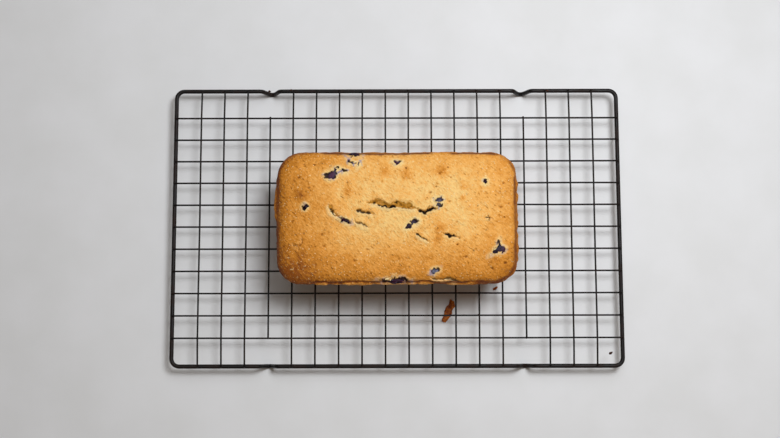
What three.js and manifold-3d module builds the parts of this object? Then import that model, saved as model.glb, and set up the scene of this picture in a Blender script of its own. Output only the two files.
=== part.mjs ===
// A blueberry pound cake cooling on a footed wire rack.
// Millimetres, +Z up, the rack's long side along X. The origin is on the table,
// under the middle of the rack.
import * as THREE from 'three';
import { mergeVertices } from 'three/addons/utils/BufferGeometryUtils.js';
import Module from 'manifold-3d';

const wasm = await Module();
wasm.setup();

// Rack: a heavy frame wire bent into a rectangle, with thin wires welded on top of it.
// The ring is held as four sides that meet at the middles of its corners.
const RACK_LENGTH = 406.4;
const RACK_WIDTH = 254;
const FRAME_WIRE = 3.8;
const FRAME_CORNER = 7;
const CORNER_GAP = 0.1;
const SIDE_REACH = 20; // how far a side's block reaches across its wire, either way
const THIN_WIRE = 1.6;
const WELD_GAP = 0.03;
const CROSS_PITCH = 20.93;
const CROSS_COUNT = 18;
const SHORT_CROSS = [4, 15];
const LONG_PITCH = 19.95;
const LONG_COUNT = 11;
const LONG_OVERHANG = 0.9;
const CROSS_OVERHANG = 0.4;
const GRID_SHIFT = new THREE.Vector2(0.3, -0.4); // the welded grid sits a little off the middle

// Feet: the frame wire dips in a V under each short cross wire.
const FOOT_X = (CROSS_COUNT + 1 - 2 * SHORT_CROSS[0]) / 2 * CROSS_PITCH;
const FOOT_DROP = 13;
const FOOT_MOUTH = 16.2;
const FOOT_SOLE = 4;
const FOOT_SHOULDER = 4;
const FOOT_TOE = 3;
const SOLE_WEAR = 0.15;

// Loaf: baked in a tapered loaf pan, so it is widest at the rim and domed above it.
const LOAF_LENGTH = 205.8;
const LOAF_WIDTH = 114;
const LOAF_CORNER = 22;
const LOAF_CENTRE = new THREE.Vector2(0.2, 1.8);
const RIM_HEIGHT = 49;
const PAN_TAPER = 6.5;
const BASE_EDGE = 2.5;
const SHOULDER = 11;
const SHOULDER_RISE = 6.8;
const DOME_RISE = 7;
const REST_GAP = 0.1;

// Berries sit in pockets that follow them at this distance.
const POCKET_GAP = 0.3;

// Heights above the table.
const FRAME_Z = FOOT_DROP + FRAME_WIRE / 2 - SOLE_WEAR;
const LONG_Z = FRAME_Z + FRAME_WIRE / 2 + WELD_GAP + THIN_WIRE / 2;
const CROSS_Z = LONG_Z + THIN_WIRE + WELD_GAP;
const LOAF_Z = CROSS_Z + THIN_WIRE / 2 + REST_GAP;
const RIM_Z = LOAF_Z + RIM_HEIGHT;

const FRAME_X = (RACK_LENGTH - FRAME_WIRE) / 2;
const FRAME_Y = (RACK_WIDTH - FRAME_WIRE) / 2;
const ARC_STEPS = 4;

const steelCoating = { color: 0x1d1a1a, roughness: 0.42, metalness: 0.3 };
const goldenCrust = { color: 0xd79a55, roughness: 0.7, metalness: 0 };
const berrySkin = { color: 0x2a2238, roughness: 0.35, metalness: 0 };
const panCrust = { color: 0xa9602c, roughness: 0.6, metalness: 0 };

const cake = new THREE.Group();

/** Adds a named mesh with a material of its own. */
function addPart(name, geometry, finish) {
	const mesh = new THREE.Mesh(geometry, new THREE.MeshStandardMaterial(finish));
	mesh.name = name;
	cake.add(mesh);
	return mesh;
}

/** The manifold solid of a closed geometry. */
function toSolid(geometry) {
	const bare = geometry.clone();
	bare.deleteAttribute('normal');
	bare.deleteAttribute('uv');
	const merged = mergeVertices(bare, 1e-4);
	return new wasm.Manifold(new wasm.Mesh({
		numProp: 3,
		vertProperties: new Float32Array(merged.attributes.position.array),
		triVerts: new Uint32Array(merged.index.array),
	}));
}

/** The geometry of a manifold solid. */
function toGeometry(solid) {
	const mesh = solid.getMesh();
	const geometry = new THREE.BufferGeometry();
	geometry.setAttribute('position', new THREE.BufferAttribute(mesh.vertProperties, 3));
	geometry.setIndex(new THREE.BufferAttribute(mesh.triVerts, 1));
	geometry.computeVertexNormals();
	return geometry;
}

/** A wire's centreline, stepped knot by knot so that the steps fall in its bends. */
class KnotCurve extends THREE.Curve {
	constructor(knots, closed) {
		super();
		this.knots = closed ? [...knots, knots[0]] : knots;
		this.closed = closed;
	}

	get steps() {
		return this.knots.length - 1;
	}

	stretch(i) {
		return this.knots[i + 1].clone().sub(this.knots[i]).normalize();
	}

	getPoint(t, target = new THREE.Vector3()) {
		const place = t * this.steps;
		const i = Math.min(Math.floor(place), this.steps - 1);
		return target.lerpVectors(this.knots[i], this.knots[i + 1], place - i);
	}

	getPointAt(u, target) {
		return this.getPoint(u, target);
	}

	getTangentAt(u, target = new THREE.Vector3()) {
		const i = Math.round(u * this.steps);
		const atEnd = i === this.steps;
		const after = atEnd && !this.closed ? i - 1 : i % this.steps;
		const before = i === 0 ? (this.closed ? this.steps - 1 : 0) : i - 1;
		return target.addVectors(this.stretch(before), this.stretch(after)).normalize();
	}
}

/** Knots along a run of corners, each rounded to its own radius. */
function roundCorners(corners) {
	return corners.flatMap(({ at, radius }, i) => {
		if (!radius) return [at];
		const back = corners.at(i - 1).at.clone().sub(at).normalize();
		const on = corners[(i + 1) % corners.length].at.clone().sub(at).normalize();
		const half = back.angleTo(on) / 2;
		const toCentre = back.clone().add(on).normalize().multiplyScalar(radius / Math.sin(half));
		const centre = at.clone().add(toCentre);
		const first = at.clone().addScaledVector(back, radius / Math.tan(half)).sub(centre);
		const turnAxis = back.clone().cross(on).normalize().negate();
		const turn = Math.PI - 2 * half;
		return Array.from({ length: ARC_STEPS + 1 }, (_, step) =>
			first.clone().applyAxisAngle(turnAxis, turn * step / ARC_STEPS).add(centre));
	});
}

/** A thin wire along its knots. */
function thinWire(knots) {
	const section = new THREE.Shape().absarc(0, 0, THIN_WIRE / 2, 0, 2 * Math.PI);
	const path = new KnotCurve(knots, false);
	return new THREE.ExtrudeGeometry(section, {
		steps: path.steps, curveSegments: 4, extrudePath: path,
	});
}

/** The four corners of one V-shaped foot in the long side at y, met going towards +x * way. */
function footCorners(x, y, way) {
	const toe = FRAME_Z - FOOT_DROP;
	return [
		{ at: new THREE.Vector3(x - way * FOOT_MOUTH / 2, y, FRAME_Z), radius: FOOT_SHOULDER },
		{ at: new THREE.Vector3(x - way * FOOT_SOLE / 2, y, toe), radius: FOOT_TOE },
		{ at: new THREE.Vector3(x + way * FOOT_SOLE / 2, y, toe), radius: FOOT_TOE },
		{ at: new THREE.Vector3(x + way * FOOT_MOUTH / 2, y, FRAME_Z), radius: FOOT_SHOULDER },
	];
}

/** Block round one side of the frame, up to its corners' middles, made in front and turned. */
function sideBlock(halfLength, distance, turn) {
	const ends = [-SIDE_REACH, SIDE_REACH].map((reach) => ({
		x: halfLength - reach - CORNER_GAP,
		y: reach - distance,
	}));
	const outline = new THREE.Shape([
		new THREE.Vector2(-ends[0].x, ends[0].y),
		new THREE.Vector2(ends[0].x, ends[0].y),
		new THREE.Vector2(ends[1].x, ends[1].y),
		new THREE.Vector2(-ends[1].x, ends[1].y),
	]);
	const block = new THREE.ExtrudeGeometry(outline, { depth: 2 * FRAME_Z, bevelEnabled: false });
	return toSolid(block.rotateZ(turn));
}

/** The frame: a closed wire with four feet, worn flat where it stands, as its four sides. */
function buildFrame() {
	const corner = (x, y) => ({ at: new THREE.Vector3(x, y, FRAME_Z), radius: FRAME_CORNER });
	const path = new KnotCurve(roundCorners([
		corner(-FRAME_X, -FRAME_Y),
		...footCorners(-FOOT_X, -FRAME_Y, 1),
		...footCorners(FOOT_X, -FRAME_Y, 1),
		corner(FRAME_X, -FRAME_Y),
		corner(FRAME_X, FRAME_Y),
		...footCorners(FOOT_X, FRAME_Y, -1),
		...footCorners(-FOOT_X, FRAME_Y, -1),
		corner(-FRAME_X, FRAME_Y),
	]), true);
	const wire = toSolid(new THREE.TubeGeometry(path, path.steps, FRAME_WIRE / 2, 12, true));
	const sides = {
		front: sideBlock(FRAME_X, FRAME_Y, 0),
		right: sideBlock(FRAME_Y, FRAME_X, Math.PI / 2),
		back: sideBlock(FRAME_X, FRAME_Y, Math.PI),
		left: sideBlock(FRAME_Y, FRAME_X, -Math.PI / 2),
	};
	for (const [place, block] of Object.entries(sides)) {
		addPart(`frame_wire_${place}`, toGeometry(wire.intersect(block)), steelCoating);
	}
}

/** Long wires, welded flat on the short sides of the frame. */
function buildLongWires() {
	const end = FRAME_X + LONG_OVERHANG;
	for (let i = 0; i < LONG_COUNT; i += 1) {
		const y = GRID_SHIFT.y + ((LONG_COUNT - 1) / 2 - i) * LONG_PITCH;
		const knots = [-end, end].map((x) => new THREE.Vector3(x, y, LONG_Z));
		addPart(`long_wire_${String(i + 1).padStart(2, '0')}`, thinWire(knots), steelCoating);
	}
}

/** Cross wires lie on the long wires and bend down to the frame, save two that stop short. */
function buildCrossWires() {
	const lastLong = (LONG_COUNT - 1) / 2 * LONG_PITCH;
	const fullRun = [
		[FRAME_Y + CROSS_OVERHANG, LONG_Z],
		[FRAME_Y - 3, LONG_Z],
		[lastLong + 3, CROSS_Z],
	];
	const shortRun = [[lastLong + 1.5, CROSS_Z]];
	for (let i = 1; i <= CROSS_COUNT; i += 1) {
		const x = GRID_SHIFT.x + (i - (CROSS_COUNT + 1) / 2) * CROSS_PITCH;
		const run = SHORT_CROSS.includes(i) ? shortRun : fullRun;
		const far = run.map(([y, z]) => new THREE.Vector3(x, y, z));
		const near = run.map(([y, z]) => new THREE.Vector3(x, -y, z)).reverse();
		addPart(`cross_wire_${String(i).padStart(2, '0')}`, thinWire([...far, ...near]), steelCoating);
	}
}

/** Height of the loaf's top above its rim at a distance in from its outline. */
function topRise(inset) {
	const inShoulder = Math.min(inset / SHOULDER, 1);
	const inDome = Math.min(inset / (LOAF_WIDTH / 2), 1);
	return SHOULDER_RISE * Math.sqrt(1 - (1 - inShoulder) ** 2) + DOME_RISE * (1 - (1 - inDome) ** 2);
}

/** Distance in from the loaf's outline at the rim. */
function insetAt(x, y) {
	const dx = Math.abs(x - LOAF_CENTRE.x) - (LOAF_LENGTH / 2 - LOAF_CORNER);
	const dy = Math.abs(y - LOAF_CENTRE.y) - (LOAF_WIDTH / 2 - LOAF_CORNER);
	return LOAF_CORNER - (dx > 0 && dy > 0 ? Math.hypot(dx, dy) : Math.max(dx, dy));
}

/** One level outline of the loaf, a rectangle with rounded corners. */
function loafRing(inset, z) {
	const long = LOAF_LENGTH / 2 - inset;
	const wide = LOAF_WIDTH / 2 - inset;
	const radius = LOAF_CORNER * wide / (LOAF_WIDTH / 2);
	const points = [];
	const quarters = [[1, 1], [-1, 1], [-1, -1], [1, -1]];
	quarters.forEach(([sx, sy], quarter) => {
		for (let step = 0; step <= 6; step += 1) {
			const angle = (quarter + step / 6) * Math.PI / 2;
			points.push(new THREE.Vector3(
				LOAF_CENTRE.x + sx * (long - radius) + radius * Math.cos(angle),
				LOAF_CENTRE.y + sy * (wide - radius) + radius * Math.sin(angle),
				z,
			));
		}
	});
	return points;
}

/** The loaf's outer body: a stack of outlines from the flat base to the domed top. */
function loafBody() {
	const rings = [
		loafRing(PAN_TAPER + BASE_EDGE, LOAF_Z),
		loafRing(PAN_TAPER + BASE_EDGE * 0.3, LOAF_Z + BASE_EDGE * 0.3),
		loafRing(PAN_TAPER, LOAF_Z + BASE_EDGE),
		loafRing(0.4, RIM_Z - 3),
	];
	for (let step = 0; step <= 5; step += 1) {
		const inset = SHOULDER * (1 - Math.cos(step / 5 * Math.PI / 2));
		rings.push(loafRing(inset, RIM_Z + topRise(inset)));
	}
	for (let step = 1; step <= 5; step += 1) {
		const inset = SHOULDER + (LOAF_WIDTH / 2 - SHOULDER - 4) * step / 5;
		rings.push(loafRing(inset, RIM_Z + topRise(inset)));
	}
	const around = rings[0].length;
	const corners = rings.flat();
	const base = corners.push(new THREE.Vector3(LOAF_CENTRE.x, LOAF_CENTRE.y, LOAF_Z)) - 1;
	const crownZ = RIM_Z + topRise(LOAF_WIDTH / 2);
	const crown = corners.push(new THREE.Vector3(LOAF_CENTRE.x, LOAF_CENTRE.y, crownZ)) - 1;
	const faces = [];
	const lastRing = (rings.length - 1) * around;
	for (let i = 0; i < around; i += 1) {
		const next = (i + 1) % around;
		faces.push(base, next, i);
		faces.push(crown, lastRing + i, lastRing + next);
		for (let ring = 0; ring < lastRing; ring += around) {
			faces.push(ring + i, ring + next, ring + around + next);
			faces.push(ring + i, ring + around + next, ring + around + i);
		}
	}
	const geometry = new THREE.BufferGeometry().setFromPoints(corners);
	geometry.setIndex(faces);
	return toSolid(geometry);
}

// Berries that break the top crust: place, half sizes, turn in degrees, and how far
// the berry's middle lies below the crust.
const TOP_BERRIES = [
	{ name: 'back_left', x: -48, y: 41, size: [6.5, 5, 5], turn: 20, sunk: 3.2 },
	{ name: 'back_left_small', x: -34.3, y: 46.5, size: [5, 4.4, 4.4], turn: 0, sunk: 3.4 },
	{ name: 'back_rim', x: -36.2, y: 55.4, size: [6, 4, 4.5], turn: 0, sunk: 2.6 },
	{ name: 'back_middle', x: -0.2, y: 48.2, size: [4.4, 4.4, 4.4], turn: 0, sunk: 3.8 },
	{ name: 'left', x: -77.3, y: 9.4, size: [4.4, 4.4, 4.4], turn: 0, sunk: 3.8 },
	{ name: 'left_crack', x: -43, y: -2.6, size: [6, 4, 4], turn: -20, sunk: 3.4 },
	{ name: 'crack_end', x: 35.2, y: 14, size: [5, 5, 4.6], turn: 0, sunk: 3 },
	{ name: 'middle', x: 12.2, y: -5.4, size: [6.6, 4.2, 4.6], turn: 32, sunk: 3 },
	{ name: 'back_right', x: 75.2, y: 32.1, size: [4.4, 4.4, 4.4], turn: 0, sunk: 3.8 },
	{ name: 'right_front', x: 86, y: -25, size: [7, 5.6, 5.4], turn: 25, sunk: 3.4 },
	{ name: 'front_right', x: 32.4, y: -44.9, size: [4.6, 4.2, 4.4], turn: 0, sunk: 3.6 },
	{ name: 'front_rim', x: 0.6, y: -52.2, size: [8.5, 4, 4.5], turn: 0, sunk: 2.8 },
];

// Berries that lay against the pan: their place on the side, and a radius. They end flush
// with the crust there.
const SIDE_BERRIES = [
	{ name: 'front_side_left', x: -62, side: 'front', z: 47, radius: 5.2 },
	{ name: 'front_side_middle', x: -12, side: 'front', z: 34, radius: 4.8 },
	{ name: 'front_side_right', x: 58, side: 'front', z: 42, radius: 5.4 },
	{ name: 'back_side_left', x: -68, side: 'back', z: 36, radius: 5 },
	{ name: 'back_side_middle', x: 8, side: 'back', z: 50, radius: 5.4 },
	{ name: 'back_side_right', x: 64, side: 'back', z: 38, radius: 4.8 },
	{ name: 'left_end', y: -20, side: 'left', z: 42, radius: 5.2 },
	{ name: 'right_end', y: 24, side: 'right', z: 45, radius: 5 },
];
const SIDE_SUNK = 2.4;

/** An ellipsoid berry, grown all over by a margin. */
function berryBall(size, turn, centre, margin) {
	const ball = new THREE.SphereGeometry(1, 10, 8).rotateX(Math.PI / 2);
	ball.scale(size[0] + margin, size[1] + margin, size[2] + margin);
	ball.rotateZ(THREE.MathUtils.degToRad(turn));
	return toSolid(ball.translate(centre.x, centre.y, centre.z));
}

/** The middle of a berry on the pan side of the loaf, just inside the tapered wall. */
function sideCentre({ side, x, y, z }) {
	const taper = PAN_TAPER * (RIM_Z - z) / RIM_HEIGHT;
	const long = LOAF_LENGTH / 2 - taper - SIDE_SUNK;
	const wide = LOAF_WIDTH / 2 - taper - SIDE_SUNK;
	const places = {
		front: [x, LOAF_CENTRE.y - wide],
		back: [x, LOAF_CENTRE.y + wide],
		left: [LOAF_CENTRE.x - long, y],
		right: [LOAF_CENTRE.x + long, y],
	};
	return new THREE.Vector3(...places[side], z);
}

/** The loaf with an open pocket for each berry, and the berries in their pockets. */
function buildCake() {
	const body = loafBody();
	let loaf = body;
	for (const { name, x, y, size, turn, sunk } of TOP_BERRIES) {
		const centre = new THREE.Vector3(x, y, RIM_Z + topRise(insetAt(x, y)) - sunk);
		loaf = loaf.subtract(berryBall(size, turn, centre, POCKET_GAP));
		addPart(`berry_${name}`, toGeometry(berryBall(size, turn, centre, 0)), berrySkin);
	}
	for (const berry of SIDE_BERRIES) {
		const size = Array(3).fill(berry.radius);
		const centre = sideCentre(berry);
		loaf = loaf.subtract(berryBall(size, 0, centre, POCKET_GAP));
		const flush = berryBall(size, 0, centre, 0).intersect(body);
		addPart(`berry_${berry.name}`, toGeometry(flush), berrySkin);
	}
	addPart('loaf', toGeometry(loaf), goldenCrust);
}

// A strip of pan-side crust that fell through the wires, and a crumb of it.
const FLAKE_OUTLINE = [
	[49.1, -66.0], [52.2, -66.0], [51.8, -74.0], [50.3, -77.6], [46.1, -83.9],
	[42.8, -86.0], [40.6, -84.3], [43.4, -76.9], [46.8, -70.8],
];
const FLAKE_THICKNESS = 2.2;
const CRUMB = { x: 89.6, y: -55.3, size: [2.7, 1.3, 1], turn: 31 };

/** The fallen crust: flat closed solids that lie on the table. */
function buildFallenCrust() {
	const outline = new THREE.Shape(FLAKE_OUTLINE.map(([x, y]) => new THREE.Vector2(x, y)));
	const flake = new THREE.ExtrudeGeometry(outline, { depth: FLAKE_THICKNESS, bevelEnabled: false });
	addPart('crust_flake', flake, panCrust);
	const crumb = new THREE.SphereGeometry(1, 8, 6).rotateX(Math.PI / 2);
	crumb.scale(...CRUMB.size).rotateZ(THREE.MathUtils.degToRad(CRUMB.turn));
	addPart('crust_crumb', crumb, panCrust).position.set(CRUMB.x, CRUMB.y, CRUMB.size[2]);
}

buildFrame();
buildLongWires();
buildCrossWires();
buildCake();
buildFallenCrust();

export default cake;
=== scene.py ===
"""A blueberry pound cake cooling on a footed wire rack: its looks, light and camera."""

import logging
import math
from dataclasses import dataclass
from enum import Enum

import bpy
import numpy as np
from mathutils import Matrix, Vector


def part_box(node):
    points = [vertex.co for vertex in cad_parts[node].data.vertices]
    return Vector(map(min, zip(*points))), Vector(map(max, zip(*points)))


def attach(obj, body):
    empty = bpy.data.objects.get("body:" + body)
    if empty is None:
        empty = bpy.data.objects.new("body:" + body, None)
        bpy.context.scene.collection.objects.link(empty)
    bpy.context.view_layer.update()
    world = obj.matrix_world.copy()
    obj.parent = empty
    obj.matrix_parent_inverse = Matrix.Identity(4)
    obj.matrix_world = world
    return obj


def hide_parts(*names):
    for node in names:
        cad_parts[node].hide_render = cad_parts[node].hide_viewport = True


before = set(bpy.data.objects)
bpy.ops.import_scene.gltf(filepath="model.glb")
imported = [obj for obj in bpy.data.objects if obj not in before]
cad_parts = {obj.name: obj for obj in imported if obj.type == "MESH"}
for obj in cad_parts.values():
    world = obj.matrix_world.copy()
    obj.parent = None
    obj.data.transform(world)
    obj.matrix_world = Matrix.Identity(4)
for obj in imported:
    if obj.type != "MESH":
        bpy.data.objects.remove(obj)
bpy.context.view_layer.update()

LOG = logging.getLogger("pound_cake")
MM = 0.001
TAU = 2 * math.pi

Point = tuple[float, float]
Hex = str
Stops = tuple[tuple[float, Hex], ...]
Inputs = dict[str | int, object]

# Inputs and output of a Mix node that mixes colours.
MIX_FACTOR, MIX_FIRST, MIX_SECOND, MIX_RESULT = 0, 6, 7, 2


# --- Small tools -----------------------------------------------------------------------


def linear(colour: Hex) -> tuple[float, float, float, float]:
    """Turns an sRGB hex colour to linear RGBA.

    Args:
        colour: six hex digits, such as "E2A45C".

    Returns:
        The linear red, green, blue and an alpha of 1.
    """
    parts = [int(colour[i : i + 2], 16) / 255 for i in (0, 2, 4)]
    red, green, blue = (
        c / 12.92 if c <= 0.04045 else ((c + 0.055) / 1.055) ** 2.4 for c in parts
    )
    return (red, green, blue, 1.0)


def per_metre(size_mm: float) -> float:
    """The scale of a pattern whose cells are size_mm across."""
    return 1000 / size_mm


def add_node(
    tree: bpy.types.NodeTree,
    kind: str,
    inputs: Inputs | tuple | None = None,
    output: str | int = 0,
    stops: Stops = (),
    **settings: object,
) -> bpy.types.NodeSocket | None:
    """Adds one node with its settings, values and links.

    Args:
        tree: the material's node tree.
        kind: the node's type name, without its "ShaderNode".
        inputs: values, or the sockets that feed them, by input or in the node's own order.
        output: the output to give back.
        stops: the places, from 0 to 1, and colours of a colour ramp.
        settings: the node's own properties.

    Returns:
        The output's socket, or None for a node that has none.
    """
    node = tree.nodes.new("ShaderNode" + kind)
    for name, value in settings.items():
        setattr(node, name, value)
    pairs = enumerate(inputs) if isinstance(inputs, tuple) else (inputs or {}).items()
    for key, value in pairs:
        if isinstance(value, bpy.types.NodeSocket):
            tree.links.new(value, node.inputs[key])
        else:
            node.inputs[key].default_value = value
    if stops:
        elements = node.color_ramp.elements
        while len(elements) < len(stops):
            elements.new(1.0)
        for element, (place, colour) in zip(elements, stops):
            element.position = place
            element.color = linear(colour)
    return node.outputs[output] if node.outputs else None


def smooth_noise(points: np.ndarray, size: float, seed: int) -> np.ndarray:
    """Smooth random values from -1 to 1.

    Args:
        points: places in millimetres, one row each.
        size: the distance over which the value changes.
        seed: picks one of many patterns.

    Returns:
        One value for each point.
    """
    cell = points / size
    base = np.floor(cell).astype(np.int64)
    part = cell - base
    part = part * part * (3 - 2 * part)
    total = np.zeros(len(points))
    axes = points.shape[1]
    for corner in range(2**axes):
        step = np.array([(corner >> axis) & 1 for axis in range(axes)])
        at = base + step
        code = np.full(len(points), seed * 7919 + 17, dtype=np.int64)
        for axis, prime in zip(range(axes), (73856093, 19349663, 83492791)):
            code ^= at[:, axis] * prime
        code = (code ^ (code >> 13)) * 1274126177 & 0x7FFFFFFF
        code = (code ^ (code >> 16)) * 2246822519 & 0x7FFFFFFF
        weight = np.prod(np.where(step, part, 1 - part), axis=1)
        total += weight * ((code >> 7) % 4096 / 2047.5 - 1)
    return total


def plan_noise(plan: np.ndarray, size: float, seed: int) -> np.ndarray:
    """Smooth random shifts, one x and y for each place."""
    return np.column_stack([smooth_noise(plan, size, seed), smooth_noise(plan, size, seed + 1)])


def soft_step(value: np.ndarray, low: float, high: float) -> np.ndarray:
    """Goes smoothly from 0 at low to 1 at high."""
    part = np.clip((value - low) / (high - low), 0, 1)
    return part * part * (3 - 2 * part)


def band(value: np.ndarray, low: float, high: float, soft: float) -> np.ndarray:
    """1 between low and high, and 0 outside, with soft ends."""
    return soft_step(value, low - soft, low + soft) * soft_step(-value, -high - soft, -high + soft)


def hill(value: np.ndarray, middle: float, width: float) -> np.ndarray:
    """1 at the middle, falling to nothing a few widths to either side."""
    return np.exp(-(((value - middle) / width) ** 2))


def turned(plan: np.ndarray, degrees: float) -> np.ndarray:
    """Places turned counter-clockwise about the origin, in plan."""
    angle = math.radians(degrees)
    spin = np.array([[math.cos(angle), -math.sin(angle)], [math.sin(angle), math.cos(angle)]])
    return plan @ spin.T


def node_box(name: str) -> tuple[np.ndarray, np.ndarray]:
    """The low and high corners of a CAD node, in millimetres."""
    low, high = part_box(name)
    return np.array(low) / MM, np.array(high) / MM


def read_places(piece: bpy.types.Object) -> np.ndarray:
    """The places of a mesh's vertices, in millimetres."""
    flat = np.empty(len(piece.data.vertices) * 3)
    piece.data.vertices.foreach_get("co", flat)
    return flat.reshape(-1, 3) / MM


def read_normals(piece: bpy.types.Object) -> np.ndarray:
    """The outward directions of a mesh's vertices."""
    flat = np.empty(len(piece.data.vertices) * 3, dtype=np.float32)
    piece.data.vertex_normals.foreach_get("vector", flat)
    return flat.reshape(-1, 3).astype(float)


def write_places(piece: bpy.types.Object, places: np.ndarray) -> None:
    """Moves a mesh's vertices to places in millimetres."""
    piece.data.vertices.foreach_set("co", (places * MM).astype(np.float32).ravel())
    piece.data.update()


def write_attribute(piece: bpy.types.Object, name: str, values: np.ndarray) -> None:
    """Holds one value for each vertex under a new name, for the materials to read."""
    layer = piece.data.attributes.new(name, "FLOAT", "POINT")
    layer.data.foreach_set("value", values.astype(np.float32))


def deselect_all() -> None:
    """Deselects every object, so that an operator acts on the new one only."""
    bpy.ops.object.select_all(action="DESELECT")


def name_piece(name: str) -> bpy.types.Object:
    """Names the object that was just added, and its mesh.

    Args:
        name: the name.

    Returns:
        The object.
    """
    piece = bpy.context.object
    piece.name = name
    piece.data.name = name
    return piece


def copy_piece(first: bpy.types.Object, name: str) -> bpy.types.Object:
    """Copies a piece with a mesh of its own.

    Args:
        first: the piece.
        name: the copy's name.

    Returns:
        The copy.
    """
    piece = first.copy()
    piece.data = first.data.copy()
    piece.name = name
    bpy.context.collection.objects.link(piece)
    return piece


def enter_edit(piece: bpy.types.Object, mode: str = "VERT") -> None:
    """Opens one piece in edit mode with all of it selected.

    Args:
        piece: the object.
        mode: what selecting picks: "VERT", "EDGE" or "FACE".
    """
    deselect_all()
    bpy.context.view_layer.objects.active = piece
    piece.select_set(True)
    bpy.ops.object.mode_set(mode="EDIT")
    bpy.ops.mesh.select_mode(type=mode)
    bpy.ops.mesh.select_all(action="SELECT")


def leave_edit() -> None:
    """Closes edit mode with the faces turned outwards."""
    bpy.ops.mesh.select_all(action="SELECT")
    bpy.ops.mesh.normals_make_consistent(inside=False)
    bpy.ops.object.mode_set(mode="OBJECT")


def turn_outwards(piece: bpy.types.Object) -> None:
    """Turns a closed piece's faces outwards."""
    enter_edit(piece)
    leave_edit()


def subdivide_chosen(piece: bpy.types.Object, mode: str, chosen: np.ndarray, cuts: int) -> None:
    """Subdivides some of a piece's edges or faces.

    Args:
        piece: the object.
        mode: "EDGE" or "FACE".
        chosen: whether to take each edge or face.
        cuts: how many cuts each edge gets.
    """
    enter_edit(piece, mode)
    bpy.ops.mesh.select_all(action="DESELECT")
    bpy.ops.object.mode_set(mode="OBJECT")
    parts = piece.data.edges if mode == "EDGE" else piece.data.polygons
    parts.foreach_set("select", chosen)
    bpy.ops.object.mode_set(mode="EDIT")
    bpy.ops.mesh.subdivide(number_cuts=cuts)
    leave_edit()


def upright_edges(piece: bpy.types.Object, least: float) -> np.ndarray:
    """Finds the edges of a piece that stand up.

    Args:
        piece: the object.
        least: how far such an edge climbs, in millimetres.

    Returns:
        Whether each edge climbs more than that.
    """
    pairs = np.empty(len(piece.data.edges) * 2, dtype=np.int64)
    piece.data.edges.foreach_get("vertices", pairs)
    ends = read_places(piece)[:, 2][pairs.reshape(-1, 2)]
    return np.abs(ends[:, 0] - ends[:, 1]) > least


class Body(str, Enum):
    """The two bodies of the frame."""

    RACK = "rack"
    CAKE = "cake"


class Slot(str, Enum):
    """The record's slots for the finishes."""

    COATING = "rack_coating"
    CRUST = "golden_crust"
    BERRY = "blueberry_skin"
    PAN_SIDE = "pan_side_crust"


def finish_piece(
    piece: bpy.types.Object, material: bpy.types.Material, body: Body, slot: Slot, *nodes: str
) -> None:
    """Dresses a finished piece and ties it to the frame.

    Args:
        piece: the object.
        material: its finish.
        body: the body that it moves with.
        slot: the record's slot for its finish; not used.
        nodes: the CAD nodes that it stands for.
    """
    piece.data.materials.clear()
    piece.data.materials.append(material)
    piece.data.shade_smooth()
    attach(piece, body.value)
    if nodes:
        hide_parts(*nodes)
    LOG.info("%s: %d faces", piece.name, len(piece.data.polygons))


# --- Finishes --------------------------------------------------------------------------


@dataclass(frozen=True)
class Finish:
    """What every finish has: a name, and a way to make its node material."""

    name: str

    def build(self) -> bpy.types.Material:
        """Makes the material: one principled shader, fed by the finish's own nodes.

        Returns:
            The material.
        """
        material = bpy.data.materials.new(self.name)
        material.use_nodes = True
        tree = material.node_tree
        tree.nodes.clear()
        place = add_node(tree, "TexCoord", output="Object")
        shader = add_node(tree, "BsdfPrincipled", self.surface(tree, place))
        add_node(tree, "OutputMaterial", {"Surface": shader})
        return material

    def surface(self, tree: bpy.types.NodeTree, place: bpy.types.NodeSocket) -> Inputs:
        """Adds the finish's own nodes.

        Args:
            tree: the material's node tree.
            place: the object coordinates.

        Returns:
            The shader's values and links.
        """
        raise NotImplementedError


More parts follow.
